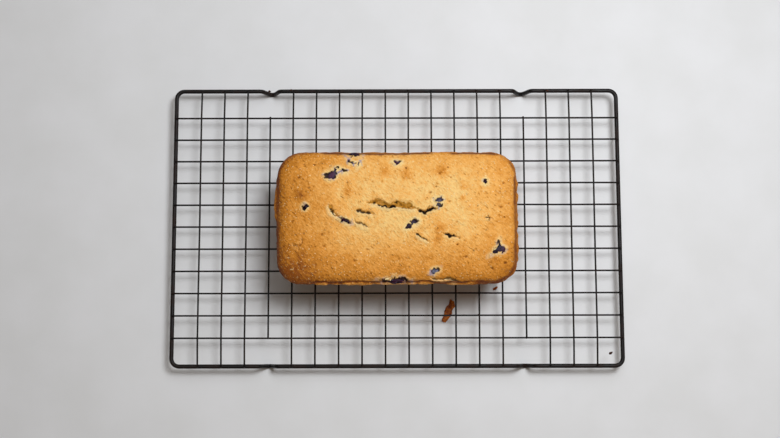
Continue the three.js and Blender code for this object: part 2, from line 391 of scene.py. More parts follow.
@dataclass(frozen=True)
class BakedCrust(Finish):
    """Baked cake crust: dry sugar and flour, browned most where it was hottest.

    It gives the eye a matte, finely pitted gold that goes brown towards the pan. Its grain is
    drawn several times as coarse as real crumb, so that it shows.
    """

    name: str = "baked_golden_crust"
    golden: Stops = (
        (0.0, "F9CB7C"),
        (0.25, "F5B35B"),
        (0.5, "E4983B"),
        (0.75, "C87E22"),
        (1.0, "914E12"),
    )
    pan_side: Stops = (
        (0.0, "DD9A54"),
        (0.4, "C67A39"),
        (0.75, "9C5523"),
        (1.0, "6B3514"),
    )
    speck: Hex = "F6DFA6"
    layers: tuple[tuple[str, Hex], ...] = (
        ("moist", "F3D68E"),
        ("crumb", "F6DFA6"),
        # Torn crumb on the cracks' far walls, darkened to a yellow-brown as painted shade.
        ("olive_and_shade", "C08728"),
        ("singed", "63260E"),
        # Juice-stained crumb round the berries, lilac-grey as a painted wet sheen.
        ("juice_stain_and_sheen", "A493A4"),
        ("juice", "1D0B18"),
        # Painted shade: dark brown in the bottoms of cracks and pits.
        ("hollow_shade", "241305"),
    )
    mottle_mm: float = 9.0
    grain_mm: float = 1.5
    dash_mm: float = 1.35
    speck_mm: float = 1.7
    pore_mm: float = 2.4
    streak: tuple[float, float, float] = (1.7, 1.0, 1.0)
    dash: tuple[float, float, float] = (2.4, 1.0, 1.0)
    streak_turn: float = -0.74
    mottle_browns: float = 0.07
    # Painted shade: the grain's low places and the sunken dashes are painted browner.
    grain_shade: float = 0.12
    dash_shade: float = 0.3
    grain_depth_mm: float = 1.05
    dash_depth_mm: float = 0.6
    pore_depth_mm: float = 0.3
    roughness: float = 0.6

    def browning(
        self,
        tree: bpy.types.NodeTree,
        mottle: bpy.types.NodeSocket,
        grain: bpy.types.NodeSocket,
        dashes: bpy.types.NodeSocket,
    ) -> bpy.types.NodeSocket:
        """How brown each place is, with its mottle, and with painted shade on its grain and dashes.

        Args:
            tree: the material's node tree.
            mottle: broad patches.
            grain: fine drawn-out grain.
            dashes: the longest grains, sunken and painted darkest as shade.

        Returns:
            The value's socket, from 0 for palest to 1 for darkest.
        """
        browned = add_node(tree, "Attribute", output="Fac", attribute_name="browned")
        # The grain is painted paler where raised and browner where low, and the sunken dashes browner:
        # painted shade on the relief.
        for part in (
            (mottle, 0.3, 0.7, -self.mottle_browns, self.mottle_browns),
            (grain, 0.35, 0.65, self.grain_shade, -self.grain_shade),
            (dashes, 0.0, 1.0, 0.0, self.dash_shade),
        ):
            more = add_node(tree, "MapRange", part)
            browned = add_node(tree, "Math", (browned, more), operation="ADD")
        return browned

    def surface(self, tree: bpy.types.NodeTree, place: bpy.types.NodeSocket) -> Inputs:
        """Adds the crust's nodes: colour by what each place holds, with its painted shade and sheen, and
        three layers of relief.

        Args:
            tree: the material's node tree.
            place: the object coordinates.

        Returns:
            The shader's values and links.
        """
        mottle = add_node(
            tree, "TexNoise",
            {"Vector": place, "Scale": per_metre(self.mottle_mm), "Detail": 4.0, "Roughness": 0.6},
        )
        turn = (0.0, 0.0, self.streak_turn)
        drawn_out, long_drawn = (
            add_node(
                tree, "Mapping", {"Vector": place, "Rotation": turn, "Scale": scale},
                vector_type="TEXTURE",
            )
            for scale in (self.streak, self.dash)
        )
        dashes = add_node(tree, "TexNoise", {"Vector": long_drawn, "Scale": per_metre(self.dash_mm)})
        dashes = add_node(tree, "MapRange", (dashes, 0.61, 0.76, 0.0, 1.0))
        specks = add_node(
            tree, "TexNoise",
            {"Vector": place, "Scale": per_metre(self.speck_mm), "Detail": 1.0},
        )
        specks = add_node(tree, "MapRange", (specks, 0.64, 0.76, 0.0, 0.55))
        grain = add_node(
            tree, "TexNoise",
            {"Vector": drawn_out, "Scale": per_metre(self.grain_mm), "Detail": 3.0, "Roughness": 0.6},
        )
        pores = add_node(
            tree, "TexVoronoi",
            {"Vector": place, "Scale": per_metre(self.pore_mm), "Randomness": 1.0},
            feature="F1",
        )
        pores = add_node(tree, "MapRange", (pores, 0.05, 0.35, 0.0, 1.0))
        browned = self.browning(tree, mottle, grain, dashes)
        colour = add_node(tree, "ValToRGB", {0: browned}, stops=self.golden)
        side = add_node(tree, "ValToRGB", {0: browned}, stops=self.pan_side)
        on_side = add_node(tree, "Attribute", output="Fac", attribute_name="pan_side")
        coats = [(specks, linear(self.speck)), (on_side, side)]
        for layer, paint in self.layers:
            amount = add_node(tree, "Attribute", output="Fac", attribute_name=layer)
            coats.append((amount, linear(paint)))
        for amount, paint in coats:
            mixed = {MIX_FACTOR: amount, MIX_FIRST: colour, MIX_SECOND: paint}
            colour = add_node(tree, "Mix", mixed, MIX_RESULT, data_type="RGBA")
        grain_bump = add_node(
            tree, "Bump",
            {"Strength": 1.0, "Distance": self.grain_depth_mm * MM, "Height": grain},
        )
        dash_bump = add_node(
            tree, "Bump",
            {
                "Strength": 0.8,
                "Distance": self.dash_depth_mm * MM,
                "Height": dashes,
                "Normal": grain_bump,
            },
            invert=True,
        )
        pore_bump = add_node(
            tree, "Bump",
            {
                "Strength": 0.5,
                "Distance": self.pore_depth_mm * MM,
                "Height": pores,
                "Normal": dash_bump,
            },
        )
        low, high = self.roughness - 0.08, self.roughness + 0.1
        return {
            "Base Color": colour,
            "Roughness": add_node(tree, "MapRange", (mottle, 0.3, 0.7, low, high)),
            "IOR": 1.45,
            "Specular IOR Level": 0.25,
            "Normal": pore_bump,
        }


@dataclass(frozen=True)
class BerrySkin(Finish):
    """Baked blueberry: wet waxy skin over dark flesh, split here and there.

    It gives the eye a near-black purple with soft painted glints and magenta where it burst.
    """

    name: str = "baked_blueberry_skin"
    skin: Stops = ((0.38, "060306"), (0.56, "280E24"), (0.72, "060306"))
    burst: Hex = "611F47"
    # The blue-grey of the painted glints.
    painted_glint: Hex = "7C8095"
    patch_mm: float = 2.4
    glint_mm: float = 1.5
    wrinkle_mm: float = 1.1
    wrinkle_depth_mm: float = 0.3
    roughness: float = 0.4

    def surface(self, tree: bpy.types.NodeTree, place: bpy.types.NodeSocket) -> Inputs:
        """Adds the skin's nodes: patches, burst flesh, painted wet glints and wrinkles.

        Args:
            tree: the material's node tree.
            place: the object coordinates.

        Returns:
            The shader's values and links.
        """
        patches = add_node(
            tree, "TexNoise",
            {"Vector": place, "Scale": per_metre(self.patch_mm), "Detail": 3.0, "Distortion": 0.6},
        )
        wrinkles = add_node(
            tree, "TexNoise",
            {"Vector": place, "Scale": per_metre(self.wrinkle_mm), "Detail": 2.0},
        )
        # Painted glints: blue-grey spots for the light caught on the wet skin, more where a berry asks
        # for them.
        glints = add_node(
            tree, "TexNoise",
            {"Vector": place, "Scale": per_metre(self.glint_mm), "Detail": 1.0},
        )
        glints = add_node(tree, "MapRange", (glints, 0.64, 0.76, 0.0, 0.6))
        painted_glint = add_node(tree, "Attribute", output="Fac", attribute_name="painted_glint")
        glints = add_node(tree, "Math", (glints, painted_glint), operation="MAXIMUM")
        colour = add_node(tree, "ValToRGB", {0: patches}, stops=self.skin)
        burst = add_node(tree, "Attribute", output="Fac", attribute_name="burst")
        for amount, paint in ((burst, self.burst), (glints, self.painted_glint)):
            mixed = {MIX_FACTOR: amount, MIX_FIRST: colour, MIX_SECOND: linear(paint)}
            colour = add_node(tree, "Mix", mixed, MIX_RESULT, data_type="RGBA")
        relief = {"Strength": 0.6, "Distance": self.wrinkle_depth_mm * MM, "Height": wrinkles}
        low, high = self.roughness, self.roughness + 0.2
        return {
            "Base Color": colour,
            "Roughness": add_node(tree, "MapRange", (patches, 0.3, 0.7, low, high)),
            "IOR": 1.42,
            "Specular IOR Level": 0.2,
            "Normal": add_node(tree, "Bump", relief),
        }


@dataclass(frozen=True)
class BakedCoating(Finish):
    """Black non-stick coating on steel wire, sprayed and baked, and browned by use.

    It gives the eye a satin black with a faint orange-peel that goes dull brown in places.
    """

    name: str = "black_nonstick_coating"
    coat: Stops = ((0.45, "0B0504"), (0.68, "22120B"))
    peel_mm: float = 1.2
    peel_depth_mm: float = 0.15
    wear_mm: float = 14.0
    roughness: float = 0.5

    def surface(self, tree: bpy.types.NodeTree, place: bpy.types.NodeSocket) -> Inputs:
        """Adds the coating's nodes: patches of wear and an orange-peel.

        Args:
            tree: the material's node tree.
            place: the object coordinates.

        Returns:
            The shader's values and links.
        """
        peel = add_node(
            tree, "TexNoise",
            {"Vector": place, "Scale": per_metre(self.peel_mm), "Detail": 2.0},
        )
        wear = add_node(
            tree, "TexNoise",
            {"Vector": place, "Scale": per_metre(self.wear_mm), "Detail": 4.0, "Roughness": 0.65},
        )
        relief = {"Strength": 0.35, "Distance": self.peel_depth_mm * MM, "Height": peel}
        low, high = self.roughness - 0.06, self.roughness + 0.2
        return {
            "Base Color": add_node(tree, "ValToRGB", {0: wear}, stops=self.coat),
            "Roughness": add_node(tree, "MapRange", (wear, 0.35, 0.7, low, high)),
            "IOR": 1.5,
            "Specular IOR Level": 0.28,
            "Normal": add_node(tree, "Bump", relief),
        }


@dataclass(frozen=True)
class PanCrust(Finish):
    """Pan-side crust: thin, oily and caramelised, torn off the loaf.

    It gives the eye an uneven orange-brown that is shinier where it is darker.
    """

    name: str = "caramelised_pan_crust"
    browns: Stops = ((0.32, "521F05"), (0.48, "96480C"), (0.68, "CC761C"))
    patch_mm: float = 3.0
    grain_mm: float = 0.9
    grain_depth_mm: float = 0.25
    roughness: float = 0.5

    def surface(self, tree: bpy.types.NodeTree, place: bpy.types.NodeSocket) -> Inputs:
        """Adds the crust's nodes: uneven browning and a fine grain.

        Args:
            tree: the material's node tree.
            place: the object coordinates.

        Returns:
            The shader's values and links.
        """
        patches = add_node(
            tree, "TexNoise",
            {"Vector": place, "Scale": per_metre(self.patch_mm), "Detail": 4.0, "Roughness": 0.6},
        )
        grain = add_node(
            tree, "TexNoise",
            {"Vector": place, "Scale": per_metre(self.grain_mm), "Detail": 2.0},
        )
        relief = {"Strength": 0.7, "Distance": self.grain_depth_mm * MM, "Height": grain}
        low, high = self.roughness - 0.1, self.roughness + 0.15
        return {
            "Base Color": add_node(tree, "ValToRGB", {0: patches}, stops=self.browns),
            "Roughness": add_node(tree, "MapRange", (patches, 0.3, 0.7, low, high)),
            "IOR": 1.47,
            "Specular IOR Level": 0.25,
            "Normal": add_node(tree, "Bump", relief),
        }


@dataclass(frozen=True)
class SugarGrain(Finish):
    """Undissolved sugar and flour, baked dry: tiny dull grains that look almost white."""

    name: str = "baked_sugar_grain"
    pale: Stops = ((0.4, "FFE9BC"), (0.65, "F5CD8A"))
    patch_mm: float = 0.8
    roughness: float = 0.45

    def surface(self, tree: bpy.types.NodeTree, place: bpy.types.NodeSocket) -> Inputs:
        """Adds the grains' nodes: pale ones and toasted ones.

        Args:
            tree: the material's node tree.
            place: the object coordinates.

        Returns:
            The shader's values and links.
        """
        patches = add_node(tree, "TexNoise", {"Vector": place, "Scale": per_metre(self.patch_mm)})
        return {
            "Base Color": add_node(tree, "ValToRGB", {0: patches}, stops=self.pale),
            "Roughness": self.roughness,
            "IOR": 1.54,
        }


@dataclass(frozen=True)
class TornCrumb(Finish):
    """Torn crumb from just under the crust: soft, open and damp, nearly cream."""

    name: str = "torn_pale_crumb"
    cream: Stops = ((0.38, "D9A855"), (0.56, "F8E6B4"))
    pore_mm: float = 0.7
    pore_depth_mm: float = 0.3
    roughness: float = 0.7

    def surface(self, tree: bpy.types.NodeTree, place: bpy.types.NodeSocket) -> Inputs:
        """Adds the crumb's nodes: open pores, painted darker at the bottom as shade.

        Args:
            tree: the material's node tree.
            place: the object coordinates.

        Returns:
            The shader's values and links.
        """
        pores = add_node(
            tree, "TexNoise",
            {"Vector": place, "Scale": per_metre(self.pore_mm), "Detail": 2.0},
        )
        relief = {"Strength": 0.8, "Distance": self.pore_depth_mm * MM, "Height": pores}
        return {
            # The colour follows the relief, so the pores' bottoms are painted darker: painted shade.
            "Base Color": add_node(tree, "ValToRGB", {0: pores}, stops=self.cream),
            "Roughness": self.roughness,
            "IOR": 1.4,
            "Normal": add_node(tree, "Bump", relief),
        }


@dataclass(frozen=True)
class PaintedTable(Finish):
    """A table top rolled with matte white paint, with a faint roller texture."""

    name: str = "matte_white_table_paint"
    white: Stops = ((0.35, "E0E0DF"), (0.65, "E5E5E5"))
    cloud_mm: float = 60.0
    roller_mm: float = 2.5
    roller_depth_mm: float = 0.2
    roughness: float = 0.6

    def surface(self, tree: bpy.types.NodeTree, place: bpy.types.NodeSocket) -> Inputs:
        """Adds the paint's nodes: faint clouds and the roller's stipple.

        Args:
            tree: the material's node tree.
            place: the object coordinates.

        Returns:
            The shader's values and links.
        """
        clouds = add_node(
            tree, "TexNoise",
            {"Vector": place, "Scale": per_metre(self.cloud_mm), "Detail": 5.0},
        )
        roller = add_node(
            tree, "TexNoise",
            {"Vector": place, "Scale": per_metre(self.roller_mm), "Detail": 3.0},
        )
        relief = {"Strength": 0.12, "Distance": self.roller_depth_mm * MM, "Height": roller}
        return {
            "Base Color": add_node(tree, "ValToRGB", {0: clouds}, stops=self.white),
            "Roughness": self.roughness,
            "IOR": 1.5,
            "Normal": add_node(tree, "Bump", relief),
        }


# --- The loaf --------------------------------------------------------------------------


@dataclass(frozen=True)
class Crack:
    """A tear in the top crust, in millimetres.

    Points run along its deepest line. The far side is the one on the left of that run. Pale says
    how strongly its crumb and the painted shade on its far wall show, dark how strong the painted
    shade at its bottom is, and dark_from how deep that shade starts.
    """

    points: tuple[Point, ...]
    far_width: float
    near_width: float
    depth: float
    lip: float = 0.5
    pale: float = 0.6
    dark: float = 0.8
    dark_from: float = 0.5


@dataclass(frozen=True)
class Opening:
    """A ragged hole that a berry broke in the crust: middle, half sizes and turn in degrees.

    Halo says how damp the crust round it is; the last value, its juice stain and painted wet sheen.
    """

    x: float
    y: float
    half_x: float
    half_y: float
    turn: float = 0.0
    depth: float = 3.2
    halo: float = 1.0
    juice_stain_and_sheen: float = 0.6


def along_line(places: np.ndarray, points: tuple[Point, ...]) -> tuple[np.ndarray, np.ndarray]:
    """Measures places against a run of straight stretches.

    Args:
        places: x and y in millimetres, one row each.
        points: the corners of the run.

    Returns:
        For each place the signed distance, positive on the left of the run, and how far
        along the run its nearest point lies, from 0 to 1.
    """
    corners = np.array(points, float)
    lengths = np.linalg.norm(np.diff(corners, axis=0), axis=1)
    best = np.full(len(places), 1e9)
    signed = np.full(len(places), 1e9)
    along = np.zeros(len(places))
    before = 0.0
    for start, end, length in zip(corners[:-1], corners[1:], lengths):
        way = (end - start) / length
        offset = places - start
        part = np.clip(offset @ way, 0, length)
        nearest = offset - part[:, None] * way
        distance = np.linalg.norm(nearest, axis=1)
        side = np.sign(way[0] * offset[:, 1] - way[1] * offset[:, 0])
        closer = distance < best
        best = np.where(closer, distance, best)
        signed = np.where(closer, distance * np.where(side == 0, 1, side), signed)
        along = np.where(closer, (before + part) / lengths.sum(), along)
        before += length
    return signed, along


class Marks:
    """What the crust's places are made of, with the painted shade and sheen on them, and how far each
    sinks, in millimetres.
    """

    def __init__(self, count: int) -> None:
        """Starts with a plain, level crust.

        Args:
            count: the number of places.
        """
        self.sink = np.zeros(count)
        self.browned = np.zeros(count)
        self.moist = np.zeros(count)
        self.crumb = np.zeros(count)
        self.olive_and_shade = np.zeros(count)
        self.singed = np.zeros(count)
        self.juice_stain_and_sheen = np.zeros(count)
        self.juice = np.zeros(count)
        self.hollow_shade = np.zeros(count)

    def paint(self, name: str, amount: np.ndarray) -> None:
        """Raises one mark to an amount, where it is less.

        Args:
            name: the mark.
            amount: one value for each place, from 0 to 1.
        """
        setattr(self, name, np.maximum(getattr(self, name), amount))


def inside_ellipse(places: np.ndarray, hole: Opening, grow: float) -> np.ndarray:
    """Measures how deep places lie inside a hole's outline.

    Args:
        places: x and y in millimetres, one row each.
        hole: the hole.
        grow: how much wider than the hole the outline is taken.

    Returns:
        The depth in millimetres, less than 0 outside.
    """
    across, up = turned(places - np.array([hole.x, hole.y]), -hole.turn).T
    ratio = np.hypot(across / (hole.half_x + grow), up / (hole.half_y + grow))
    return (1 - ratio) * min(hole.half_x + grow, hole.half_y + grow)


@dataclass
class Loaf:
    """The cake's body: a tapered loaf with a domed, torn top crust."""

    rim_height: float = 49.0
    taper: float = 6.5
    corner: float = 22.0
    crust: BakedCrust = BakedCrust()
    shoulder: float = 11.0
    shoulder_rise: float = 6.8
    dome_rise: float = 6.3
    grid_mm: float = 0.8
    trim: float = 0.3
    nudge: Point = (0.3, 0.4)
    side_steps: int = 22
    wave_mm: float = 26
    lump_mm: float = 8
    knob_mm: float = 3.4
    grain_mm: float = 1.7
    streak_mm: float = 1.9
    streak_stretch: float = 2.2
    streak_way: Point = (0.76, -0.65)
    streak_across: Point = (0.65, 0.76)
    pit_size: float = 0.95
    pit_depth: float = 1.1
    hump_size: float = 4.0
    hump_height: float = 0.4
    damp_reach: float = 4.8
    seed: int = 11
    cracks: tuple[Crack, ...] = (
        Crack(
            ((-26, 13.2), (-17, 12), (-9.5, 9.5), (-3.5, 9.6), (3, 9), (12, 7.4), (17.7, 7.4)),
            5.8, 1.5, 4.2, 0.7, 1.1, 1.0, 0.78,
        ),
        Crack(
            ((17, 6.8), (21.6, 4.8), (25, 6), (28.5, 7.2), (34, 8.4)),
            2.6, 1.8, 3.8, 0.7, 0.8, 1.0,
        ),
        Crack(
            ((-57.5, 12.9), (-56.3, 7.9), (-54, 3.5), (-50.4, 0.6), (-46, -1.2), (-38.5, -4.8)),
            2.8, 1.7, 2.6, 0.6, 1.0, 0.9, 0.68,
        ),
        Crack(
            ((-35.4, -1.2), (-32.5, -4.8), (-27.5, -6.6), (-23, -8.4)),
            1.3, 1.0, 1.4, 0.4, 0.7, 0.6,
        ),
        Crack(
            ((-34.5, 6.6), (-30.4, 5.6), (-25.4, 4.9), (-19.4, 3.1)),
            1.8, 1.3, 2.0, 0.4, 0.8, 0.9, 0.6,
        ),
        Crack(((15.6, -13.4), (21.7, -17.1), (27.1, -20.3)), 1.4, 1.1, 1.9, 0.5, 1.0, 0.9),
        Crack(
            ((38.7, -13.8), (44.5, -15.3), (48.2, -15.7), (53.9, -17.5)),
            1.4, 1.1, 1.7, 0.3, 0.5, 1.0,
        ),
        Crack(
            ((27, -50.4), (38, -51.8), (45.3, -50.8), (52.7, -53.9)),
            1.9, 1.4, 1.5, 0.3, 0.7, 0.6,
        ),
        Crack(
            ((-90, -20.6), (-86, -23), (-83, -25.5), (-81.6, -28)),
            1.5, 1.0, 0.8, 0.25, 0.1, 0.4, 0.6,
        ),
        Crack(((-79.6, -16), (-80.4, -20), (-83, -24)), 1.7, 1.1, 0.8, 0.3, 0.1, 0.4, 0.6),
        Crack(((73, 0.9), (77.5, 0.3), (82, -0.6)), 0.9, 0.9, 1.2, 0.2, 0.3, 0.9),
        Crack(((77.2, 3.4), (77.6, 0.3), (77.9, -2.6)), 0.9, 0.8, 1.1, 0.2, 0.2, 0.8),
    )
    openings: tuple[Opening, ...] = (
        Opening(-56.2, 36.6, 4.6, 3.2, 18, 3.2, 1.0, 0.8),
        Opening(-51.6, 40.6, 2.6, 1.5, 50, 3.0, 1.0, 1.2),
        Opening(-45.2, 40.6, 2.4, 1.4, -10, 3.0, 1.0, 1.4),
        Opening(-38.5, 48.2, 2.6, 0.7, -35, 2.4, 1.0, 1.4),
        Opening(-32, 46.2, 0.7, 2.4, -20, 2.4, 1.0, 1.4),
        Opening(-36.4, 55.6, 5.4, 1.3, 0, 2.6, 0.5),
        Opening(-0.2, 48.4, 2.2, 1.4, -10, 2.4),
        Opening(-77.6, 9.6, 1.9, 1.3, -15, 2.4),
        Opening(-43.5, -2.2, 4.2, 1.2, -22, 2.4, 0.7),
        Opening(35.6, 15, 3.6, 2.0, 15, 3.2, 1.0, 1.0),
        Opening(35.6, 10.8, 1.9, 1.0, 10, 2.4, 1.0, 1.4),
        Opening(14.3, -3.6, 3.3, 1.7, 12),
        Opening(9, -7.6, 2.4, 1.9, 40),
        Opening(75.3, 31.2, 1.8, 1.9, 0, 2.4),
        Opening(83.6, -28.4, 4.9, 1.3, 30),
        Opening(87.4, -25.8, 3.6, 2.7, 0),
        Opening(32, -44.8, 3.2, 1.3, 28, 2.4, 1.0, 1.3),
        Opening(86.4, -20.8, 0.9, 2.2, -8, 2.0, 0.6, 0.8),
        Opening(-1.5, -52.2, 10.5, 1.6, -3, 2.6, 0.5),
    )
    pits: tuple[Point, ...] = (
        (-83, 35), (-74.7, 26), (-91, 18), (-79, 46.5), (-42, 30.5), (-27.6, 27), (-70, 46),
        (-78.7, -13), (-88, -2), (-63, -13.7), (-96, -23.6), (-82, -23), (-61.5, -23.7),
        (-72, -42.4), (-36, -36), (-24.7, -26.6), (-4.7, -10.6), (36.3, 38), (43.4, 43.4),
        (45.8, 34.7), (7.8, 43), (14, 30.2), (33.3, 26.8), (28, 21.6), (25.5, 16.8), (44.4, 13.8),
        (90.4, 29.7), (94.7, 12.4), (88, 9.2), (90.8, 0.6), (50.7, -22.5), (58, -33),
        (42.3, -38.7), (91, -38), (50.4, -3.7), (27.5, -11), (80.3, -42.7),
    )
    humps: tuple[Point, ...] = (
        (-41.8, 22), (-10.5, 39.3), (7.4, 37.5), (38, 40), (56.4, 26), (55.5, 17.4),
        (35, -17), (-81.7, 20.6), (37, -9.5),
    )

    def __post_init__(self) -> None:
        """Takes the loaf's place and size from the frame."""
        self.low, self.high = node_box("loaf")
        self.middle = (self.low[:2] + self.high[:2]) / 2 - np.array(self.nudge)
        self.half = (self.high[:2] - self.low[:2]) / 2 - self.trim
        self.rim = self.low[2] + self.rim_height

    def crust_height(self, x: float, y: float) -> float:
        """Measures the plain domed crust, before it is roughened and torn.

        Args:
            x: a place along the loaf, in millimetres.
            y: its place across the loaf.

        Returns:
            The crust's height over that place, in millimetres.
        """
        edge = np.abs(np.array([x, y]) - self.middle) - self.half + self.corner
        inset = self.corner - (math.hypot(*edge) if min(edge) > 0 else max(edge))
        inset = max(inset, 0.0)
        shoulder = 1 - min(inset / self.shoulder, 1)
        dome = 1 - min(inset / self.half[1], 1)
        rise = self.shoulder_rise * math.sqrt(1 - shoulder**2) + self.dome_rise * (1 - dome**2)
        return self.rim + rise

    def inset_of(self, plan: np.ndarray) -> np.ndarray:
        """Measures how far inside the loaf's outline places lie.

        Args:
            plan: x and y in millimetres, one row each.

        Returns:
            The distance in from the outline, in millimetres.
        """
        edge = np.abs(plan - self.middle) - self.half + self.corner
        round_edge = np.hypot(*np.clip(edge, 0, None).T)
        return self.corner - np.where(edge.min(axis=1) > 0, round_edge, edge.max(axis=1))

    def surface(self, x: float, y: float) -> float:
        """The height of the finished crust at a place, in millimetres."""
        gap = np.hypot(self.finished[:, 0] - x, self.finished[:, 1] - y)
        return float(self.finished[int(np.argmin(gap)), 2])

    def outline(self, u: np.ndarray, v: np.ndarray, ring: np.ndarray, inset: np.ndarray) -> np.ndarray:
        """Bends a rectangle's ring to the loaf's rounded outline.

        Args:
            u: places along the loaf on a plain rectangle.
            v: places across it.
            ring: how far in from the rectangle's edge each place lies.
            inset: how far in from the loaf's rim its outline goes.

        Returns:
            The new x and y, one row each.
        """
        long, wide = self.half[0] - inset, self.half[1] - inset
        grown_u = np.abs(u) * long / np.maximum(self.half[0] - ring, 1e-6)
        grown_v = np.abs(v) * wide / np.maximum(self.half[1] - ring, 1e-6)
        radius = np.maximum(self.corner * wide / self.half[1], 1e-6)
        a = np.clip((grown_u - long + radius) / radius, 0, 1)
        b = np.clip((grown_v - wide + radius) / radius, 0, 1)
        x = np.minimum(grown_u, long - radius) + radius * a * np.sqrt(1 - b * b / 2)
        y = np.minimum(grown_v, wide - radius) + radius * b * np.sqrt(1 - a * a / 2)
        return np.stack([np.sign(u) * x, np.sign(v) * y], axis=1) + self.middle

    def settle(self, piece: bpy.types.Object) -> None:
        """Gives the flat grid and its hanging skirt the loaf's overall form.

        Args:
            piece: a grid a metre square, with a skirt a metre deep.
        """
        raw = read_places(piece) * MM
        u, v = raw[:, 0] * 2 * self.half[0], raw[:, 1] * 2 * self.half[1]
        down = np.clip(-raw[:, 2], 0, 1)
        ring = np.clip(np.minimum(self.half[0] - np.abs(u), self.half[1] - np.abs(v)), 0, None)
        arc = 1.3 * self.shoulder
        turn = np.clip(ring / arc, 0, 1) * math.pi / 2
        beyond = np.clip(ring - arc, 0, None)
        stretch = (self.half[1] - self.shoulder) / (self.half[1] - arc)
        inset = self.shoulder * (1 - np.cos(turn)) + beyond * stretch
        rise = self.shoulder_rise * np.sin(turn)
        rise += self.dome_rise * (1 - (1 - np.clip(inset / self.half[1], 0, 1)) ** 2)
        stops = [0.0, 0.12, 0.86, 0.94, 1.0]
        drop = np.interp(down, stops, [0, 3, 46.5, 48.3, self.rim_height])
        side_inset = np.interp(down, stops, [0, 0.4, self.taper, self.taper + 0.8, self.taper + 2.6])
        on_side = down > 0
        inset = np.where(on_side, side_inset, inset)
        height = np.where(on_side, -drop, rise)
        plan = self.outline(u, v, ring, inset)
        write_places(piece, np.column_stack([plan, self.rim + height]))

    def refine(self, piece: bpy.types.Object) -> None:
        """Halves the faces round every crack, hole and pit, where the surface turns sharply.

        Args:
            piece: the loaf.
        """
        faces = piece.data.polygons
        flat = np.empty(len(faces) * 3)
        faces.foreach_get("center", flat)
        centres = flat.reshape(-1, 3) / MM
        near = np.zeros(len(centres), bool)
        for crack in self.cracks:
            signed, _ = along_line(centres[:, :2], crack.points)
            near |= (signed < crack.far_width + 1.2) & (signed > -crack.near_width - 1.2)
        for hole in self.openings:
            near |= inside_ellipse(centres[:, :2], hole, 2.4) > 0
        for pit in self.pits:
            near |= np.linalg.norm(centres[:, :2] - np.array(pit), axis=1) < 1.6
        near &= centres[:, 2] > self.rim + 1
        subdivide_chosen(piece, "FACE", near, 1)

    def add_body(self) -> bpy.types.Object:
        """Models the loaf: a fine grid for its top, walls hung from its edge, and a closed base.

        Returns:
            The loaf, smooth and whole.
        """
        deselect_all()
        bpy.ops.mesh.primitive_grid_add(
            x_subdivisions=round(2 * self.half[0] / self.grid_mm),
            y_subdivisions=round(2 * self.half[1] / self.grid_mm),
            size=1,
        )
        piece = name_piece("loaf_crust")
        enter_edit(piece, "EDGE")
        bpy.ops.mesh.select_all(action="DESELECT")
        bpy.ops.mesh.select_non_manifold()
        bpy.ops.mesh.extrude_edges_move(TRANSFORM_OT_translate={"value": (0, 0, -1)})
        bpy.ops.mesh.edge_face_add()
        bpy.ops.object.mode_set(mode="OBJECT")
        subdivide_chosen(piece, "EDGE", upright_edges(piece, 1.0), self.side_steps - 1)
        self.settle(piece)
        self.refine(piece)
        return piece

    def weather(self, piece: bpy.types.Object) -> None:
        """Roughens the crust, tears it, and writes down what each place is made of, with its painted
        shade and sheen.

        Args:
            piece: the loaf.
        """
        places = read_places(piece)
        normals = read_normals(piece)
        plan = places[:, :2].copy()
        above = places[:, 2] - self.rim
        top = soft_step(above, -0.6, 0.6)
        wave, lumps, knobs, grains = (
            smooth_noise(places, size, self.seed + number)
            for number, size in enumerate((self.wave_mm, self.lump_mm, self.knob_mm, self.grain_mm))
        )
        way, across = np.array(self.streak_way), np.array(self.streak_across)
        drawn_out = np.column_stack([plan @ way / self.streak_stretch, plan @ across])
        streaks = smooth_noise(drawn_out, self.streak_mm, self.seed + 4)
        rough = 0.5 * wave + 0.3 * lumps + 0.17 * knobs + 0.12 * grains + 0.1 * streaks
        side_rough = 0.35 * wave + 0.16 * lumps + 0.1 * knobs
        base = soft_step(places[:, 2], self.low[2] + 0.2, self.low[2] + 3)
        shift = top * rough + (1 - top) * side_rough * base
        lip = hill(above, -0.4, 1.1)
        shift += lip * (0.1 + 0.35 * lumps + 0.35 * knobs)
        torn = plan + 0.9 * plan_noise(plan, 3.4, 31) + 0.5 * plan_noise(plan, 1.5, 33)
        marks = Marks(len(places))
        marks.browned += self.baked(plan, lip) + 0.07 * wave + 0.06 * lumps + 0.06 * knobs
        shift += self.turn_rim(places, above, lumps, knobs, marks)
        self.tear(torn, lumps, knobs, marks)
        self.break_open(torn, lumps, knobs, marks)
        self.pock(plan, lumps, knobs, marks)
        places += normals * shift[:, None]
        places[:, 2] -= marks.sink * top
        write_places(piece, places)
        self.finished = places[above > 0]
        for name, _ in self.crust.layers:
            write_attribute(piece, name, np.clip(getattr(marks, name) * top, 0, 1))
        write_attribute(piece, "browned", np.clip(marks.browned, 0, 1))
        write_attribute(piece, "pan_side", 1 - soft_step(above + 0.5 * knobs, -1.6, 0.4))

